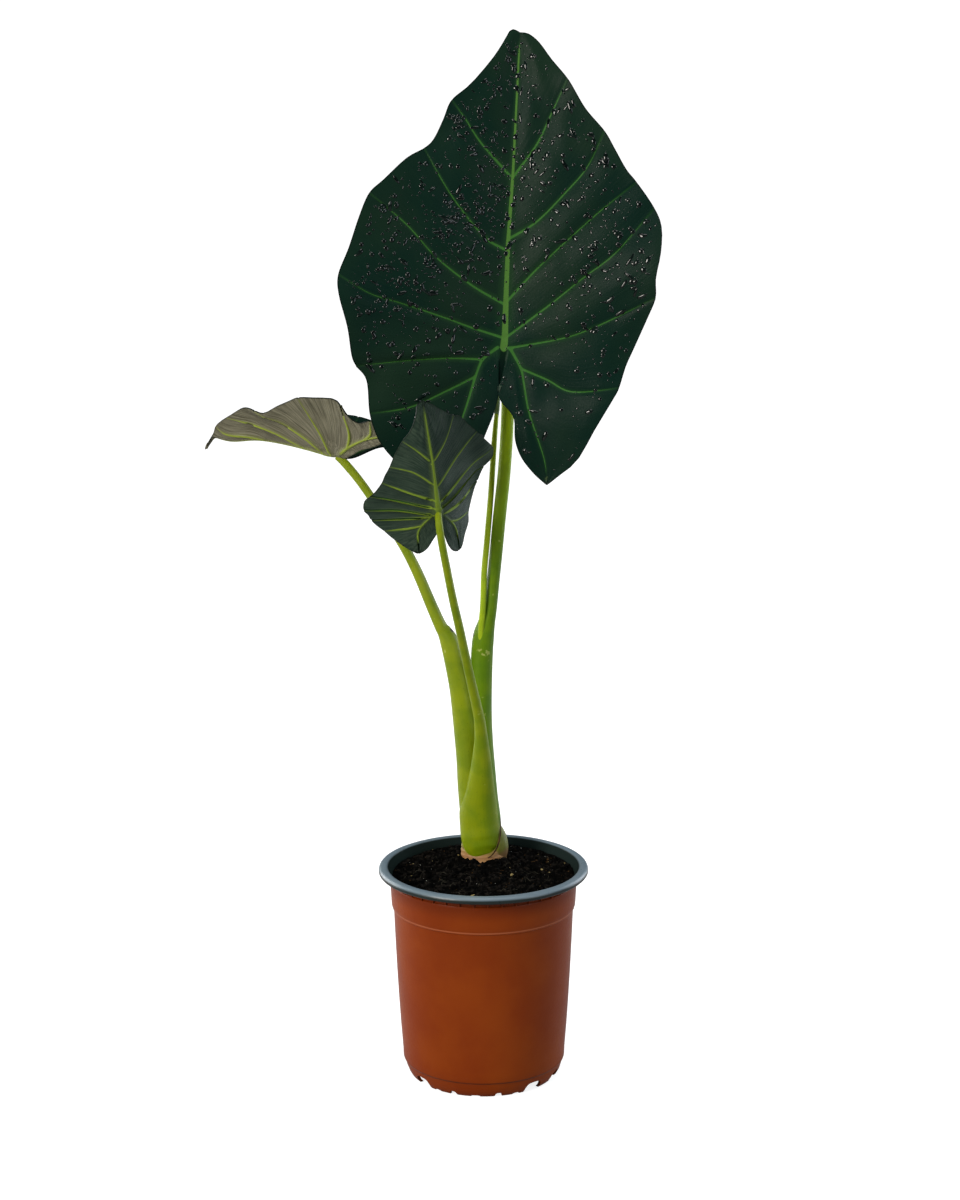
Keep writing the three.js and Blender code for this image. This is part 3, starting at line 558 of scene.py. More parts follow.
LEFT_STALK = [
    (-6, 28, 152, 7, 9), (-7, 28, 165, 8, 10.5), (-8.3, 28, 190, 8.8, 11), (-9.4, 28, 210, 8.6, 10.5),
    (-10.8, 28, 229, 8.7, 9.5), (-13.8, 28.5, 251, 7.7, 8), (-16.4, 29, 264, 6.8, 7), (-20, 30.5, 281, 6.4, 6),
    (-22.6, 32, 291, 6.1, 5.4), (-25.3, 33, 296.5, 5.1, 4.9), (-28.2, 33.5, 301, 4.2, 4.5),
    (-34.5, 36, 315, 3.8, 4.1), (-43.5, 40, 336, 3.5, 3.8), (-53, 43.5, 354, 3.2, 3.5),
    (-66.5, 48, 374, 2.9, 3.1), (-80.5, 52.5, 394, 2.8, 2.9), (-91, 56, 406.5, 2.8, 2.8),
    (-96.6, 57.8, 411.6, 2.5, 2.4),
]
BIG_STALK = [
    (2, 28, 156, 9, 9), (1.6, 28, 167, 10.3, 10), (0.5, 28, 184, 9.4, 9.5), (-0.4, 28, 207, 8.3, 9),
    (-1.1, 28, 223, 7.8, 8.5), (-1.3, 28, 240, 7.3, 8), (-1.2, 28, 262, 7.3, 7.5), (-0.5, 27.5, 284, 7.3, 7),
    (0.6, 27, 296, 7, 6.4), (2.6, 26.5, 305, 5.7, 5.6), (4.9, 26, 316, 4.7, 4.9), (6.6, 25.5, 330, 4.3, 4.5),
    (8.6, 24, 350, 4.3, 4.3), (11.2, 21, 378, 4.3, 4.3), (14.4, 17, 410, 4.2, 4.2), (16.3, 13, 444, 4.1, 4.1),
    (16.2, 10.5, 470, 3.9, 3.9), (15.2, 7.8, 486, 3.6, 3.6), (14.4, 5.8, 491.6, 2.6, 2.6),
]
YOUNG_STALK = [
    (-1.5, 26, 236, 2.2, 2.2), (-1.6, 25.5, 262, 2.2, 2.2), (-1.8, 24, 285, 2.1, 2.1), (-0.9, 21.8, 304, 2.1, 2.1),
    (0.2, 20.6, 318, 2, 2), (1, 20.6, 340, 2, 2), (2.9, 21, 361, 2, 2), (5.6, 21.5, 393, 1.9, 1.9),
    (7.7, 21.5, 426, 1.8, 1.8), (9.4, 21.5, 446, 1.4, 1.4),
]


def tube_coords(near, stretch):
    """Places on a grown tube: round it and along it, stretched."""
    around = add_node(near, "ShaderNodeAttribute", attribute_name="around").outputs["Vector"]
    return add_node(near, "ShaderNodeMapping", {"Vector": around, "Scale": stretch}).outputs[0]


def stalk_finish(name, pale, deep, dry_places, painted_top_light):
    """Waxy green skin with faint lengthwise fibres. dry_places are [point, radius] of dry sheath edges, and the
    last colour is painted light, which the stalk is lightened towards at its top against the shade of the blades
    above.
    """
    finish, shader, coords = new_finish(name, Specular_IOR_Level=0.14)
    marks = add_mottle(coords, 75.0, 420.0, 0.075)
    fibres = noise_at(tube_coords(coords, (9.0, 9.0, 2.2)), 3.0, 5.0)
    colour = mix_colours(marks["Clouds"], pale, deep)
    colour = mix_colours(soft_step(fibres, 0.42, 0.72, 0.0, 0.35), colour, deep)
    colour = mix_colours(soft_step(fibres, 0.40, 0.26, 0.0, 0.25), colour, (0.26, 0.30, 0.02))
    colour = lay_over(colour, marks["Specks"], 0.75, (0.045, 0.055, 0.004))
    scuffs = soft_step(noise_at(coords, 170.0, 2.0), 0.70, 0.76, 0.0, 0.6)
    colour = mix_colours(scuffs, colour, (0.36, 0.38, 0.10))
    for place, radius in dry_places:
        centre = tuple(value * MM for value in place)
        away = add_node(coords, "ShaderNodeVectorMath", {0: coords, 1: centre}, operation="DISTANCE")
        worn = reckon("ADD", away.outputs["Value"], reckon("MULTIPLY", marks["Grain"], 0.0012))
        dry = soft_step(worn, (radius + 1.1) * MM, (radius - 0.3) * MM)
        colour = mix_colours(dry, colour, (0.020, 0.013, 0.006))
    # Painted light: the stalk is lightened towards its top, where the blades above shade it.
    colour = mix_colours(soft_step(height_of(coords), 0.34, 0.45, 0.0, 0.7), colour, painted_top_light)
    set_surface(shader, colour, soft_step(marks["Clouds"], 0.0, 1.0, 0.34, 0.46), fibres, 0.00022)
    return finish


# Each stalk is [name, solid, points, pale, deep, dry sheath edges, top colour]; the top colour is painted light
# against the shade of the blades.
STALKS = [
    ("front_leaf_stalk", "stalk_front", FRONT_STALK, (0.176, 0.218, 0.002), (0.118, 0.176, 0.001), [],
     (0.176, 0.218, 0.002)),
    ("left_leaf_stalk", "stalk_left", LEFT_STALK, (0.178, 0.222, 0.003), (0.122, 0.176, 0.001),
     [((-20.5, 31.5, 298.5), 1.8)], (0.178, 0.222, 0.003)),
    ("big_leaf_stalk", "stalk_big", BIG_STALK, (0.100, 0.178, 0.001), (0.070, 0.145, 0.0005),
     [((-5.6, 25.5, 296.5), 1.5)], (0.400, 0.560, 0.004)),
    ("new_leaf_stalk", "stalk_young", YOUNG_STALK, (0.300, 0.400, 0.010), (0.220, 0.320, 0.006), [],
     (0.420, 0.540, 0.015)),
]
for name, solid, sections, pale, deep, dry_places, painted_top_light in STALKS:
    stalk = grown_tube(name, sections, 48 if solid != "stalk_young" else 28, 5)
    stalk.data.materials.append(stalk_finish(name + "_skin", pale, deep, dry_places, painted_top_light))
    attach(stalk, "root")
    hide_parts(solid)


# Open blades: leathery shields with a stout midrib, paired side veins and two back lobes.
# Each is drawn flat, with u across and v along the midrib from the hub where the stalk joins,
# then folded, arched and waved, and given its thickness with the veins standing out below.
# A side lists its veins from the leaf tip round to the tip of its back lobe, as in the solids.
BIG_BLADE = {
    "hub": (14, 4, 493.8), "tip": (21.8, 35, 687.2), "upper": (0, -1, 0.16), "length": 197, "fold": 13, "arch": 6,
    "apex": (-2.5, -33), "rib": 1.1, "midrib": 2.6, "puff": 2.2, "curl": None, "seed": 3.0,
    "vein_width": 0.95, "midrib_width": 2.6,
    "waves": [(-52, 130, 16, -5), (-104, 22, 22, 4), (-92, -30, 18, -5), (98, 48, 25, 4), (86, 4, 20, -4),
              (68, -42, 20, 3), (30, -90, 16, -4), (40, 168, 16, 3)],
    "left": [
        {"vein": [(3, 197)], "edge": [(-3, 198.5), (-8, 190), (-15, 179), (-28, 163)]},
        {"vein": [(-1, 107), (-20, 126), (-31, 141), (-40, 152)], "edge": [(-45, 140), (-51, 127)]},
        {"vein": [(-3, 60), (-16, 67), (-35, 88), (-47, 105), (-57, 121)], "edge": [(-68, 114), (-82, 100)]},
        {"vein": [(-3.5, 26), (-23, 36), (-47, 53), (-66, 72), (-91, 91)], "edge": [(-97, 76), (-103, 56)]},
        {"vein": [(-3.5, 4), (-22, 9), (-41, 15), (-70, 23), (-89, 28), (-109, 39)], "edge": [(-108, 26)]},
        {"vein": [(-4, -3), (-30, 0), (-65, 5), (-102, 6)], "edge": [(-99, -11)], "soft": True},
        {"vein": [(-14, -11), (-36, -11), (-63, -13.5), (-96, -18)], "edge": [(-89, -27)]},
        {"vein": [(-18, -22), (-37, -32), (-60, -43), (-86, -48)], "edge": [(-80, -64), (-70, -76), (-57, -87)],
         "spine": [(-22, -37), (-26, -50), (-33, -72)]},
        {"vein": [(-41, -94)]},
    ],
    "left_inner": [(-5, -45), (-9, -56), (-15, -71), (-25, -87)],
    "right": [
        {"vein": [(3, 197)], "edge": [(9, 196), (16, 190.5), (24, 180.5)]},
        {"vein": [(4.5, 109), (17, 127), (25, 145), (35, 168)], "edge": [(47, 150)]},
        {"vein": [(3.5, 68), (19, 78), (37, 97), (50, 113), (60, 136)], "edge": [(67, 125), (75, 112)]},
        {"vein": [(4, 30), (20, 48), (39, 66.5), (59, 85), (82, 104)]},
        {"vein": [(4.5, 6), (30, 26), (50, 43), (70, 59), (94, 88)], "edge": [(99, 76), (99, 60), (96.5, 44)]},
        {"vein": [(4, -3), (31, 2.5), (47, 7), (67, 16), (97, 32)], "edge": [(93, 20), (85, 0), (80, -12)]},
        {"vein": [(12, -16), (29.5, -22.5), (46, -29.5), (76, -26)],
         "edge": [(72, -34), (62, -52), (51, -73), (39, -84)],
         "spine": [(14.5, -28), (18, -43.5), (24.5, -60), (30, -75)]},
        {"vein": [(32, -90)]},
    ],
    "right_inner": [(0, -38), (8.5, -48), (10, -62), (14.5, -73), (23, -83)],
}
FRONT_BLADE = {
    "hub": (-28, -42, 392), "tip": (-38.5, -69, 467), "upper": (-0.38, 0.88, 0.27), "length": 80, "fold": 32,
    "arch": 3, "apex": (0, -9), "rib": 0.5, "midrib": 1.9, "puff": 1.3, "curl": None, "seed": 11.0,
    "vein_width": 0.46, "midrib_width": 2.3,
    "waves": [(-48, -8, 20, 12), (-58, 22, 14, -4), (46, 10, 12, -3), (-30, 60, 14, 2)],
    "left": [
        {"vein": [(-2, 80)], "edge": [(-9, 75), (-17, 67)]},
        {"vein": [(-3.6, 37), (-17, 45), (-29, 56)], "edge": [(-35, 53), (-41, 44.5)]},
        {"vein": [(-3.4, 19), (-23, 28), (-48, 36)], "edge": [(-54, 28)]},
        {"vein": [(-3, 7), (-28, 13), (-61, 18)], "edge": [(-61, 9)]},
        {"vein": [(-2.7, 2.5), (-38, 5), (-54, 4)], "edge": [(-51, 0)]},
        {"vein": [(-2.5, -2), (-24, -4), (-47, -5)], "edge": [(-41, -9)]},
        {"vein": [(-9, -10), (-17, -13), (-30, -15)], "edge": [(-27, -21), (-21, -26), (-17, -31)],
         "spine": [(-12.5, -18)]},
        {"vein": [(-13, -33.5)]},
    ],
    "left_inner": [(-1.5, -15), (-3.2, -24), (-7, -31)],
    "right": [
        {"vein": [(-2, 80)], "edge": [(2.5, 78.5), (5, 70), (10, 61)]},
        {"vein": [(0, 38), (8, 47), (16, 54)], "edge": [(21, 46)]},
        {"vein": [(1.5, 22), (12, 31), (27, 36)], "edge": [(31, 30)]},
        {"vein": [(2.5, 10), (20, 18), (34, 25)], "edge": [(39, 19.5)]},
        {"vein": [(2.8, 4), (22, 10), (43, 16.5)], "edge": [(48, 13)]},
        {"vein": [(3, -1), (25, 4), (49.5, 7)], "edge": [(47, 3)]},
        {"vein": [(6, -1.8), (24, -2), (45.5, -1)], "edge": [(42, -6)]},
        {"vein": [(13, -7.5), (25, -9.5), (38, -10)], "edge": [(34, -15), (29, -20), (24, -24.5)],
         "spine": [(16.5, -13.5)]},
        {"vein": [(18, -28)]},
    ],
    "right_inner": [(2.5, -13), (7, -18.5), (12, -24.5)],
}
LEFT_BLADE = {
    "hub": (-97, 58, 412), "tip": (-188, 116, 417.5), "upper": (0.121, 0.19, 0.974), "length": 108, "fold": 45,
    "arch": 13, "apex": (0, -5), "rib": 0.6, "midrib": 2.1, "puff": 1.5, "curl": (101, 80), "seed": 23.0,
    "vein_width": 0.72, "midrib_width": 2.1,
    "waves": [(-35, 50, 13, -3), (-52, -32, 13, -3), (-60, -14, 14, 2), (44, 30, 16, -3), (54, 0, 24, -8),
              (18, -26, 12, 5), (0, 88, 16, -3.5)],
    "left": [
        {"vein": [(0, 107)], "edge": [(-2.6, 103.5), (-8, 99.5)]},
        {"vein": [(-2, 62), (-6, 76), (-9, 90), (-14, 96)], "edge": [(-17, 92)]},
        {"vein": [(-2.5, 30), (-11, 44), (-17, 62), (-22, 85)], "edge": [(-27, 76), (-32, 67)]},
        {"vein": [(-2.8, 12), (-12, 20), (-23, 37), (-33.5, 58)], "edge": [(-33.5, 50), (-39, 38.5), (-46, 26)]},
        {"vein": [(-3, 4), (-20, 6), (-35, 11), (-51, 17)], "edge": [(-53.5, 5), (-56, -6)]},
        {"vein": [(-3, -2), (-20, -7), (-38, -12), (-57, -13)], "soft": True},
        {"vein": [(-17, -15), (-30, -20), (-44, -20.5), (-55, -19)], "edge": [(-50, -24), (-48, -33)]},
        {"vein": [(-31, -33), (-39, -40), (-52, -43)], "edge": [(-53, -50), (-50, -57)], "spine": [(-37, -44)]},
        {"vein": [(-43, -60)]},
    ],
    "left_inner": [(-4, -9), (-15, -22), (-24, -35), (-34, -50)],
    "right": [
        {"vein": [(0, 107)], "edge": [(2.6, 103.5), (8, 99.5)]},
        {"vein": [(2, 62), (6, 76), (10, 89), (16, 94)], "edge": [(22, 86)]},
        {"vein": [(2.5, 30), (12, 44), (20, 60), (27, 78)], "edge": [(32, 66)]},
        {"vein": [(2.8, 12), (14, 22), (26, 36), (38, 53)], "edge": [(43, 40), (48, 28)]},
        {"vein": [(3, 4), (20, 7), (36, 11), (52, 16)], "edge": [(54, 3)]},
        {"vein": [(3, -2), (22, -6), (40, -9), (54, -10)], "soft": True},
        {"vein": [(16, -14), (30, -19), (43, -20), (52, -20)], "edge": [(49, -30), (48, -38)]},
        {"vein": [(27, -27), (36, -36), (46, -44)], "edge": [(44, -51)], "spine": [(33, -38)]},
        {"vein": [(36, -55)]},
    ],
    "right_inner": [(4, -9), (14, -19), (22, -30), (30, -44)],
}
# How finely the blades are divided, and how far, in millimetres, the puffing, the tips and the midrib
# take to fade. A place that is FAR from a vein, in half widths of it, shows nothing of it.
BETWEEN = [0, 0.025, 0.055, 0.10, 0.16, 0.24, 0.33, 0.42, 0.5, 0.58, 0.67, 0.76, 0.84, 0.90, 0.945, 0.975]
ACROSS = 34
INWARD = 12
STRIP = 8
HUB_LINE = 5 * len(BETWEEN)
BLADE_THICKNESS = 0.9
FULL_PUFF_LENGTH = 45
INNER_PUFF_LENGTH = 30
TIP_FADE = 12
MIDRIB_REACH = 24
FAR = 9.0


def flat(points):
    return [Vector((u, v, 0)) for u, v in points]


def even_points(points, count):
    """Points at equal steps of length along the smooth curve through the given ones."""
    fine = [smooth_point(points, i / 120) for i in range(121)]
    lengths = [0.0]
    for a, b in zip(fine, fine[1:]):
        lengths.append(lengths[-1] + (b - a).length)
    even = []
    k = 0
    for i in range(count + 1):
        wanted = lengths[-1] * i / count
        while k < 119 and lengths[k + 1] < wanted:
            k += 1
        span = max(lengths[k + 1] - lengths[k], 1e-9)
        even.append(fine[k].lerp(fine[k + 1], min(max((wanted - lengths[k]) / span, 0.0), 1.0)))
    return even


def nearest_vein(point, veins):
    """How far the point is from the nearest vein, as a share of that vein's half width there."""
    best = FAR
    for line, start_width, end_width in veins:
        last = len(line) - 1
        for i in range(last):
            a, b = line[i], line[i + 1]
            step = b - a
            along = max(0.0, min(1.0, (point - a).dot(step) / max(step.length_squared, 1e-9)))
            width = start_width + (end_width - start_width) * (i + along) / last
            best = min(best, (point - a - step * along).length / width)
    return best


def side_lines(blade, side):
    """The lines of one side, from the leaf tip to the lobe tip, each from the midrib to the margin."""
    ribs = blade[side]
    spine, margin, spine_at, margin_at = [], [], [], []
    for rib in ribs:
        spine_at.append(len(spine))
        margin_at.append(len(margin))
        spine += flat([rib["vein"][0], *rib.get("spine", [])])
        margin += flat([rib["vein"][-1], *rib.get("edge", [])])
    veins = [even_points(flat(rib["vein"]), ACROSS) if len(rib["vein"]) > 1 else flat(rib["vein"]) * (ACROSS + 1)
             for rib in ribs]
    width = blade["vein_width"]
    costa = even_points(spine[spine_at[5]:], 16)
    lines = []
    for i in range(len(ribs) - 1):
        soft_start, soft_end = ribs[i].get("soft", False), ribs[i + 1].get("soft", False)
        near = [(costa, width * 1.25, width * 0.25)] if i >= 4 else []
        for k in (i, i + 1):
            if len(ribs[k]["vein"]) > 1 and not ribs[k].get("soft", False):
                root = veins[k][0] + (veins[k][0] - veins[k][2]).normalized() * abs(veins[k][0].x) * 1.1
                near.append(([root, *veins[k][::2]], width, width * 0.3))
        for a in BETWEEN:
            at = spine_at[i] + a * (spine_at[i + 1] - spine_at[i])
            whole = min(int(at), len(spine) - 2)
            start = spine[whole].lerp(spine[whole + 1], at - whole)
            end = smooth_point(margin, (margin_at[i] + a * (margin_at[i + 1] - margin_at[i])) / (len(margin) - 1))
            start_shift = start - veins[i][0].lerp(veins[i + 1][0], a)
            end_shift = end - veins[i][ACROSS].lerp(veins[i + 1][ACROSS], a)
            length = (end - start).length
            swell = math.sin(math.pi * a)
            if soft_start:
                swell = max(swell, 0.7 * math.cos(math.pi / 2 * a))
            if soft_end:
                swell = max(swell, 0.7 * math.sin(math.pi / 2 * a))
            line = []
            for j in range(ACROSS + 1):
                r = j / ACROSS
                point = veins[i][j].lerp(veins[i + 1][j], a) + start_shift * (1 - r) + end_shift * r
                line.append({
                    "point": point, "veins": near, "edge": (1 - r) * length, "phase": i + a, "reach": r,
                    "puff": swell * math.sin(math.pi * min(r * 0.9, 1)) * min(1, (length / FULL_PUFF_LENGTH) ** 2),
                })
            lines.append(line if lines else [line[0]] * (ACROSS + 1))
    lines.append([dict(lines[-1][0], point=veins[-1][0], puff=0.0, edge=0.0)] * (ACROSS + 1))
    return lines, costa


def blade_rows(blade):
    """Rows of flat points for the two outer sides, the two inner lobes and the midrib strip."""
    patches, strip_edges = [], []
    for side in ("left", "right"):
        lines, costa = side_lines(blade, side)
        lobe = lines[HUB_LINE:]
        edge_line = flat([blade["apex"], *blade[side + "_inner"], blade[side][-1]["vein"][0]])
        inner = []
        for k, line in enumerate(lobe):
            end = smooth_point(edge_line, k / (len(lobe) - 1))
            start = line[0]["point"]
            length = (end - start).length
            veins = [(costa, blade["vein_width"] * 1.25, blade["vein_width"] * 0.25)]
            inner.append([line[0]] + [
                dict(line[0], point=start.lerp(end, j / INWARD), veins=veins, edge=(1 - j / INWARD) * length,
                     puff=0.6 * math.sin(math.pi * j / INWARD) * min(1, (length / INNER_PUFF_LENGTH) ** 2),
                     reach=-j / INWARD)
                for j in range(1, INWARD + 1)
            ])
        inner[-1] = [lobe[-1][0]] * (INWARD + 1)
        patches += [lines, inner]
        strip_edges.append([line[0] for line in lines[:HUB_LINE + 1]] + inner[0][1:])
    midrib = [a["point"].lerp(b["point"], 0.5) for a, b in zip(*strip_edges)]
    above = midrib[:HUB_LINE + 1:4]
    width = blade["midrib_width"]
    midrib_line = [(above, width * 0.18, width)]
    crease_line = [(midrib[HUB_LINE:], width, width * 0.4)]
    strip = []
    for k, (left, right) in enumerate(zip(*strip_edges)):
        strip.append([left] + [
            dict(left, point=left["point"].lerp(right["point"], j / STRIP), puff=0.0, edge=FAR, reach=0.0,
                 veins=left["veins"] + right["veins"])
            for j in range(1, STRIP)
        ] + [right])
    patches.append(strip)
    ends = flat([blade["left"][0]["vein"][0], blade["left"][-1]["vein"][0], blade["right"][-1]["vein"][0],
                 blade["apex"]])
    for patch in patches:
        for row in patch:
            for cell in row:
                cell["ends"] = min(1.0, min((cell["point"] - end).length for end in ends) / TIP_FADE)
                close = abs(cell["point"].x) < MIDRIB_REACH
                cell["midrib"] = nearest_vein(cell["point"], midrib_line) if close else FAR
                cell["crease"] = nearest_vein(cell["point"], crease_line) if close else FAR
                cell["vein"] = nearest_vein(cell["point"], cell["veins"])
    return patches


def blade_placer(blade):
    hub, tip = Vector(blade["hub"]), Vector(blade["tip"])
    up = Vector(blade["upper"]).normalized()
    along = (tip + up * blade["arch"] - hub).normalized()
    up = (up - along * up.dot(along)).normalized()
    across = along.cross(up)
    fold = math.radians(blade["fold"])
    curl_start, curl_drop = blade["curl"] or (1e6, 0)

    def place(cell):
        u, v = cell["point"].x, cell["point"].y
        lift = (math.hypot(u, 6) - 6) * math.sin(fold) + cell["puff"] * blade["puff"]
        if v > 0:
            lift -= blade["arch"] * (v / blade["length"]) ** 2
        if v > curl_start:
            lift -= curl_drop * ((v - curl_start) / (blade["length"] + 10 - curl_start)) ** 2
        for cu, cv, radius, height in blade["waves"]:
            lift += height * math.exp(-((u - cu) ** 2 + (v - cv) ** 2) / radius**2)
        calm = min(1.0, cell["vein"] / 6, cell["midrib"] / 6, cell["crease"] / 6)
        lift += 0.9 * calm * noise.noise(Vector((0.055 * u, 0.055 * v, blade["seed"])))
        lift += 0.35 * calm * noise.noise(Vector((1.6 * cell["phase"], 5 * cell["reach"], blade["seed"] + 5)))
        lift -= 0.35 * math.exp(-cell["vein"] ** 2 / 2.5) * (1 if cell["midrib"] > 2 else 0.3)
        return (hub + across * u * math.cos(fold) + along * v + up * lift) * MM

    return place


def rib_rise(blade, cell):
    """How far a vein stands out of the underside here, as a rounded ridge."""
    vein = max(0.0, 1 - (cell["vein"] / 1.9) ** 2)
    midrib = math.sqrt(max(0.0, 1 - (min(cell["midrib"], cell["crease"]) / 1.5) ** 2))
    taper = 1 - 0.75 * abs(cell["reach"])
    if cell["point"].y < 0:
        long = 1 + cell["point"].y / 200
    else:
        long = 1 - 0.9 * cell["point"].y / blade["length"]
    return max(vein * blade["rib"] * taper, midrib * blade["midrib"] * long) * cell["ends"]


def build_blade(name, blade, upper_finish, under_finish):
    place = blade_placer(blade)
    thickest = BLADE_THICKNESS + blade["midrib"]
    sheets = []
    for rows in blade_rows(blade):
        sheet = add_piece(
            bpy.ops.mesh.primitive_grid_add, x_subdivisions=len(rows[0]) - 1, y_subdivisions=len(rows) - 1
        )
        mesh = sheet.data
        cells = [cell for row in rows for cell in row]
        rise = sheet.vertex_groups.new(name="rise")
        flat_area = 0.0
        for polygon in mesh.polygons:
            a, b, c, d = (cells[corner]["point"] for corner in polygon.vertices)
            flat_area += (c - a).cross(d - b).z
        for index, (vertex, cell) in enumerate(zip(mesh.vertices, cells)):
            vertex.co = place(cell)
            rise.add([index], (BLADE_THICKNESS + rib_rise(blade, cell)) / thickest, "REPLACE")
        for label, keys in (("veins", ("vein", "midrib", "edge")), ("weave", ("phase", "reach", "crease"))):
            values = [
                min(cell[key] + (6 * (1 - cell["ends"]) ** 2 if key in ("vein", "midrib", "crease") else 0), 60.0)
                for cell in cells for key in keys
            ]
            mesh.attributes.new(label, "FLOAT_VECTOR", "POINT").data.foreach_set("vector", values)
        if flat_area < 0:
            mesh.flip_normals()
        sheets.append(sheet)
    leaf = join_pieces(sheets, name)
    bpy.ops.object.mode_set(mode="EDIT")
    bpy.ops.mesh.select_all(action="SELECT")
    bpy.ops.mesh.remove_doubles(threshold=0.00006)
    bpy.ops.mesh.dissolve_degenerate(threshold=0.00002)
    bpy.ops.mesh.normals_make_consistent(inside=False)
    bpy.ops.object.mode_set(mode="OBJECT")
    up = Vector(blade["upper"])
    if sum(polygon.normal.dot(up) * polygon.area for polygon in leaf.data.polygons) < 0:
        leaf.data.flip_normals()
    bpy.ops.object.mode_set(mode="EDIT")
    bpy.ops.mesh.select_all(action="SELECT")
    bpy.ops.transform.shrink_fatten(value=BLADE_THICKNESS / 2 * MM)
    bpy.ops.object.mode_set(mode="OBJECT")
    leaf.data.materials.append(upper_finish)
    leaf.data.materials.append(under_finish)
    return leaf


def thicken_blade(leaf, blade):
    apply_modifier(
        leaf, "SOLIDIFY", thickness=(BLADE_THICKNESS + blade["midrib"]) * MM, offset=-1,
        vertex_group="rise", thickness_vertex_group=0.0, material_offset=1, material_offset_rim=0,
    )
    select_only(leaf)
    bpy.ops.object.shade_smooth_by_angle(angle=math.radians(55))


# Leaf marks: where the veins, their pale borders, the margin and the fine streaks between veins lie
leaf_marks = bpy.data.node_groups.new("leaf_marks", "ShaderNodeTree")
for label, way in (
    ("Streak Count", "INPUT"), ("Veins", "OUTPUT"), ("Midrib", "OUTPUT"), ("Crease", "OUTPUT"), ("Halo", "OUTPUT"),
    ("Margin", "OUTPUT"), ("Streaks", "OUTPUT"),
):
    leaf_marks.interface.new_socket(name=label, in_out=way, socket_type="NodeSocketFloat")
marks_in = add_node(leaf_marks, "NodeGroupInput").outputs
marks_out = add_node(leaf_marks, "NodeGroupOutput").inputs
vein_split = add_node(
    leaf_marks, "ShaderNodeSeparateXYZ",
    {0: add_node(leaf_marks, "ShaderNodeAttribute", attribute_name="veins").outputs["Vector"]},
).outputs
weave_vector = add_node(leaf_marks, "ShaderNodeAttribute", attribute_name="weave").outputs["Vector"]
weave_split = add_node(leaf_marks, "ShaderNodeSeparateXYZ", {0: weave_vector}).outputs
fade = soft_step(reckon("ABSOLUTE", weave_split[1]), 1.0, 0.72)
plug(reckon("MULTIPLY", soft_step(vein_split[0], 1.25, 0.6), fade), marks_out["Veins"])
plug(soft_step(vein_split[1], 1.15, 0.80), marks_out["Midrib"])
plug(soft_step(weave_split[2], 1.3, 0.5), marks_out["Crease"])
closest = reckon("MINIMUM", vein_split[0], vein_split[1])
plug(soft_step(closest, 4.5, 0.8), marks_out["Halo"])
plug(soft_step(vein_split[2], 1.0, 0.3), marks_out["Margin"])
streak_turn = add_node(leaf_marks, "ShaderNodeCombineXYZ", {0: marks_in[0], 1: 1.6, 2: 1.0}).outputs[0]
streak_coords = add_node(
    leaf_marks, "ShaderNodeVectorMath", {0: weave_vector, 1: streak_turn}, operation="MULTIPLY"
).outputs[0]
streaks = add_node(
    leaf_marks, "ShaderNodeTexNoise", {"Vector": streak_coords, "Scale": 1.0, "Detail": 5.0, "Roughness": 0.62}
).outputs[0]
plug(soft_step(streaks, 0.30, 0.70), marks_out["Streaks"])


def add_leaf_marks(coords, streak_count):
    return add_node(coords, "ShaderNodeGroup", {"Streak Count": streak_count}, node_tree=leaf_marks).outputs


def upper_face(name, dark, light, vein, midrib):
    finish, shader, coords = new_finish(name, Specular_IOR_Level=0.03)
    leaf = add_leaf_marks(coords, 22.0)
    marks = add_mottle(coords, 16.0, 900.0, 0.05)
    colour = mix_colours(marks["Clouds"], dark, light)
    colour = lay_over(colour, leaf["Streaks"], 0.25, light)
    colour = lay_over(colour, leaf["Halo"], 0.14, vein)
    # Painted shade: a dark line along the crease between the back lobes, in the valley of the fold.
    colour = lay_over(colour, leaf["Crease"], 0.7, (0.001, 0.004, 0.003))
    colour = lay_over(colour, leaf["Veins"], 0.95, vein)
    colour = mix_colours(leaf["Midrib"], colour, midrib)
    colour = lay_over(colour, leaf["Margin"], 0.7, (0.002, 0.003, 0.002))
    relief = reckon("ADD", reckon("MULTIPLY", leaf["Streaks"], 0.6), marks["Grain"])
    set_surface(shader, colour, soft_step(marks["Grain"], 0.2, 0.8, 0.34, 0.42), relief, 0.00018, 0.5)
    return finish


def under_face(name, dark, light, vein):
    finish, shader, coords = new_finish(name, Specular_IOR_Level=0.08)
    leaf = add_leaf_marks(coords, 26.0)
    marks = add_mottle(coords, 40.0, 1000.0, 0.05)
    colour = mix_colours(leaf["Streaks"], dark, light)
    colour = lay_over(colour, marks["Clouds"], 0.4, dark)
    colour = lay_over(colour, leaf["Halo"], 0.25, vein)
    both = reckon("MAXIMUM", reckon("MAXIMUM", leaf["Veins"], leaf["Midrib"]), leaf["Crease"])
    colour = mix_colours(both, colour, vein)
    colour = lay_over(colour, leaf["Margin"], 0.4, (0.008, 0.010, 0.005))
    set_surface(shader, colour, soft_step(leaf["Streaks"], 0.0, 1.0, 0.44, 0.56), leaf["Streaks"], 0.0003, 0.6)
    return finish


dark_upper = upper_face("dark_upper_face", (0.0022, 0.0120, 0.0085), (0.0060, 0.0170, 0.0095),
                        (0.028, 0.098, 0.018), (0.048, 0.120, 0.022))
green_under = under_face("green_underside", (0.010, 0.022, 0.015), (0.036, 0.056, 0.038), (0.120, 0.180, 0.018))
brown_under = under_face("brown_underside", (0.050, 0.047, 0.029), (0.210, 0.200, 0.140), (0.190, 0.240, 0.028))

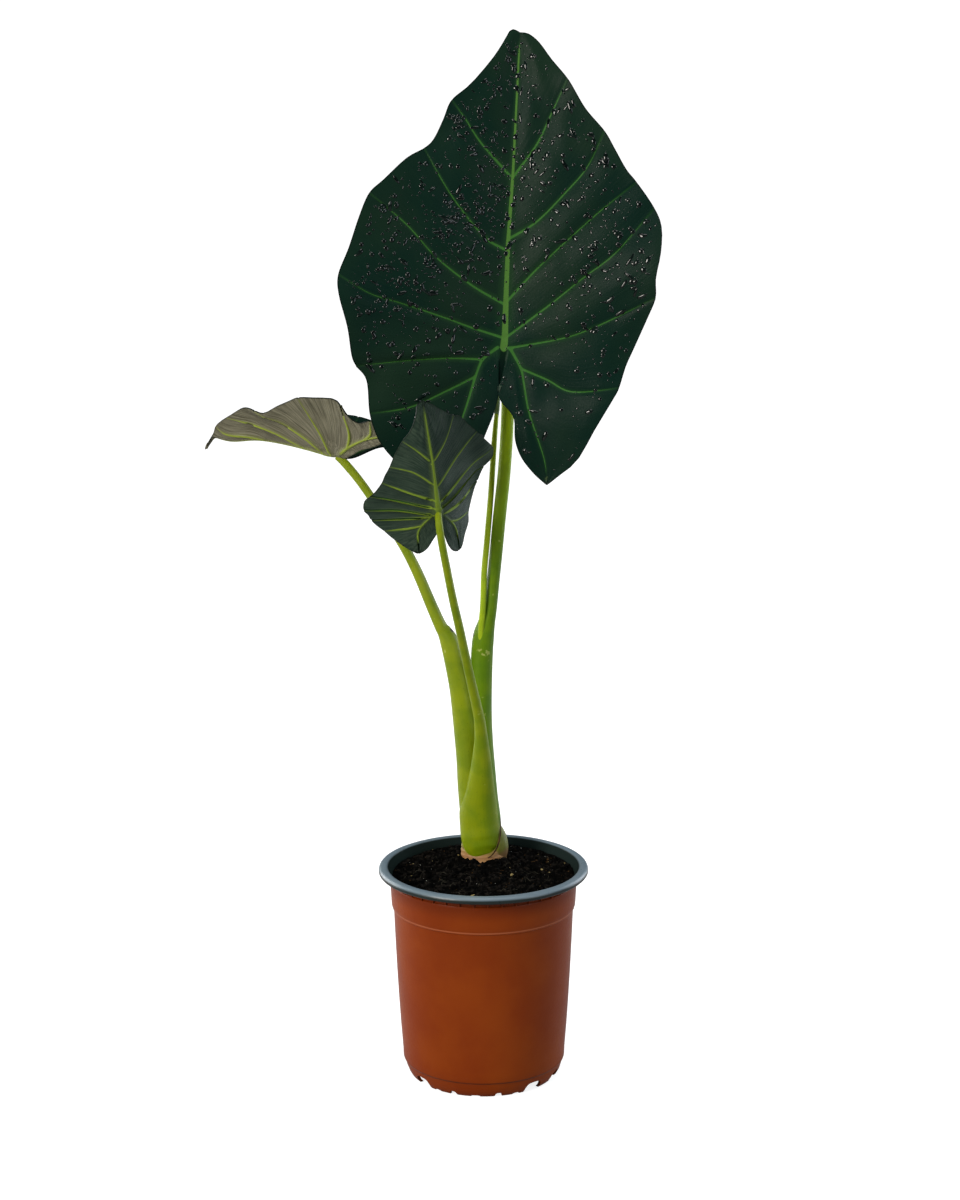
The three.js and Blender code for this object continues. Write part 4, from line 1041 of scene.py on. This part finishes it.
BLADES = [
    ("large_leaf_blade", "blade_big", BIG_BLADE, dark_upper, green_under, "blade_upper"),
    ("front_leaf_blade", "blade_front", FRONT_BLADE, dark_upper, green_under, "blade_under"),
    ("left_leaf_blade", "blade_left", LEFT_BLADE, dark_upper, brown_under, "blade_under"),
]
DRY_MARGIN = 3.5
for name, solid, blade, upper_finish, under_finish, slot in BLADES:
    leaf = build_blade(name, blade, upper_finish, under_finish)
    if solid == "blade_big":
        margin = [item.vector.z for item in leaf.data.attributes["veins"].data]
        wet_face = [
            ([leaf.data.vertices[corner].co.copy() for corner in polygon.vertices], polygon.area)
            for polygon in leaf.data.polygons if min(margin[corner] for corner in polygon.vertices) > DRY_MARGIN
        ]
    thicken_blade(leaf, blade)
    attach(leaf, "root")
    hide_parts(solid)


# New leaf: still rolled into a tight spindle, with its margin lying over in one long slanting line.
YOUNG_ROLL = [
    (9.4, 21.6, 443, 1.2, 1.2), (9.2, 22, 453, 2.7, 2.6), (8.6, 23.5, 470, 3.8, 3.4), (7.6, 27, 495, 4, 3.6),
    (6.6, 31, 520, 3.4, 3), (5.8, 35, 545, 2.1, 2), (5.4, 38, 562, 0.7, 0.7),
]


def rolled_shape(t, angle):
    wrap = (angle / math.tau + 0.35 * t) % 1.0
    return 0.86 + 0.14 * wrap


roll = grown_tube("rolled_new_leaf", YOUNG_ROLL, 48, 12, rolled_shape)
roll_skin, shader, coords = new_finish("new_leaf_skin", Specular_IOR_Level=0.15)
marks = add_mottle(coords, 60.0, 900.0, 0.05)
stripes = noise_at(tube_coords(coords, (4.0, 4.0, 14.0)), 1.5, 4.0)
colour = mix_colours(soft_step(stripes, 0.35, 0.65), (0.110, 0.150, 0.085), (0.200, 0.260, 0.140))
colour = lay_over(colour, marks["Specks"], 0.4, (0.03, 0.05, 0.02))
set_surface(shader, colour, soft_step(marks["Clouds"], 0.0, 1.0, 0.36, 0.48), stripes, 0.0003)
roll.data.materials.append(roll_skin)
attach(roll, "root")
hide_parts("blade_young")


# Water: drops left on the large leaf after watering, from pinheads to small puddles that ran together.
# Each is a low dome with an uneven outline that sits on the blade's face.
DROP_TRIES = 3300
DROP_SIDES = 10
DROP_RINGS = ((1.0, -0.05), (0.93, 0.08), (0.66, 0.21), (0.32, 0.28))
chance = random.Random(7)
total_area = sum(area for _, area in wet_face)
targets = sorted(chance.random() * total_area for _ in range(DROP_TRIES))
points, faces = [], []
passed = 0.0
face_index = 0
for target in targets:
    while passed + wet_face[face_index][1] < target:
        passed += wet_face[face_index][1]
        face_index += 1
    corners = wet_face[face_index][0]
    a, b = chance.random(), chance.random()
    spot = corners[0].lerp(corners[1], a).lerp(corners[-1].lerp(corners[2 % len(corners)], a), b)
    normal = (corners[1] - corners[0]).cross(corners[-1] - corners[0])
    height_share = (spot.z - 0.40) / 0.29
    wanted = 0.95 if height_share > 0.45 else 0.25 + 0.9 * max(height_share, 0)
    patchy = 0.5 + 0.9 * noise.noise(spot * 28)
    if normal.length < 1e-12 or chance.random() > wanted * (0.45 + 0.8 * patchy):
        continue
    normal.normalize()
    if normal.y > 0:
        normal.negate()
    right = Vector((1, 0, 0)) - normal * normal.x
    right.normalize()
    down = normal.cross(right)
    size = (0.28 + 1.75 * chance.random() ** 3) * MM
    long = 1 + 1.6 * chance.random() ** 2.5
    lean = math.tau * chance.random()
    first = len(points)
    bumps = [1 + 0.5 * (chance.random() - 0.5) for _ in range(DROP_SIDES)]
    for out, rise in DROP_RINGS:
        for side in range(DROP_SIDES):
            angle = math.tau * side / DROP_SIDES
            x = math.cos(angle) * long * out * bumps[side]
            y = math.sin(angle) / long**0.5 * out * bumps[side]
            x, y = x * math.cos(lean) - y * math.sin(lean), x * math.sin(lean) + y * math.cos(lean)
            points.append(spot + (right * x + down * y) * size + normal * rise * size)
    points.append(spot + normal * 0.30 * size)
    faces += ring_faces(first, DROP_SIDES, len(DROP_RINGS) - 1)
    top = first + (len(DROP_RINGS) - 1) * DROP_SIDES
    faces.extend((top + side, top + (side + 1) % DROP_SIDES, len(points) - 1) for side in range(DROP_SIDES))
    faces.append(tuple(first + side for side in reversed(range(DROP_SIDES))))
drops = piece_from("water_drops", points, faces)
select_only(drops)
bpy.ops.object.mode_set(mode="EDIT")
face_outward()
bpy.ops.object.shade_smooth_by_angle(angle=math.radians(60))
water, shader, coords = new_finish("water", Roughness=0.04, IOR=1.33, Specular_IOR_Level=0.6)
marks = add_mottle(coords, 180.0, 900.0, 0.05)
# The drops are opaque and coloured nearly black-green: painted shade, standing in for the dark look that clear
# water gets from the leaf under it and from what it reflects.
colour = mix_colours(marks["Clouds"], (0.0005, 0.0016, 0.0014), (0.003, 0.008, 0.006))
plug(colour, shader.inputs["Base Color"])
drops.data.materials.append(water)
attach(drops, "root")


# Stage: a wide plain white floor in a white room, and soft lights. The key light is warm and stands
# at the left in front, cooler light fills from the right, and two square panels behind the plant
# put a pale edge on both sides of it. The room only looks bright: little of its light falls on the plant.
floor = add_piece(bpy.ops.mesh.primitive_grid_add, x_subdivisions=12, y_subdivisions=12, size=24)
floor.name = "floor"
floor_finish, shader, coords = new_finish("pale_floor", Specular_IOR_Level=0.1, Roughness=0.9)
colour = mix_colours(noise_at(coords, 2.0, 2.0), (0.34, 0.34, 0.34), (0.36, 0.36, 0.36))
plug(colour, shader.inputs["Base Color"])
seen = add_node(coords, "ShaderNodeLightPath").outputs["Is Camera Ray"]
plug((1.0, 1.0, 1.0), shader.inputs["Emission Color"])
away = add_node(coords, "ShaderNodeVectorMath", {0: coords}, operation="LENGTH").outputs["Value"]
glow = soft_step(away, 0.3, 1.6, 0.84, 1.05)
plug(reckon("MULTIPLY", seen, glow), shader.inputs["Emission Strength"])
floor.data.materials.append(floor_finish)

LIGHTS = [
    ("key", (-1.7, -1.7, 1.15), (0, 0, 0.38), 1.0, 78, (1.0, 0.95, 0.87)),
    ("fill", (1.9, -1.2, 0.9), (0, 0, 0.35), 1.2, 20, (0.84, 0.92, 1.0)),
    ("top", (0.1, -0.3, 2.4), (0, 0.05, 0.3), 1.2, 24, (1.0, 1.0, 1.0)),
    ("left_panel", (-1.3, 0.9, 0.6), (0, 0, 0.35), 1.2, 26, (1.0, 1.0, 1.0)),
    ("right_panel", (1.3, 0.9, 0.6), (0, 0, 0.35), 1.2, 22, (0.9, 0.95, 1.0)),
]
for name, place, aim, size, power, tint in LIGHTS:
    light_data = bpy.data.lights.new(name, "AREA")
    light_data.energy = power
    light_data.size = size
    light_data.color = tint
    light = bpy.data.objects.new(name, light_data)
    light.location = place
    light.rotation_euler = (Vector(aim) - Vector(place)).to_track_quat("-Z", "Y").to_euler()
    bpy.context.scene.collection.objects.link(light)
world = bpy.data.worlds.new("white_room")
world.use_nodes = True
world.node_tree.nodes.remove(world.node_tree.nodes["Background"])
seen = add_node(world.node_tree, "ShaderNodeLightPath").outputs["Is Camera Ray"]
room_glow = add_node(
    world.node_tree, "ShaderNodeBackground",
    {"Color": mix_colours(seen, (0.80, 0.90, 1.0), (1.0, 1.0, 1.0)),
     "Strength": soft_step(seen, 0.0, 1.0, 0.10, 1.1)},
)
plug(room_glow.outputs[0], world.node_tree.nodes["World Output"].inputs["Surface"])
bpy.context.scene.world = world
bpy.context.scene.view_settings.view_transform = "Standard"
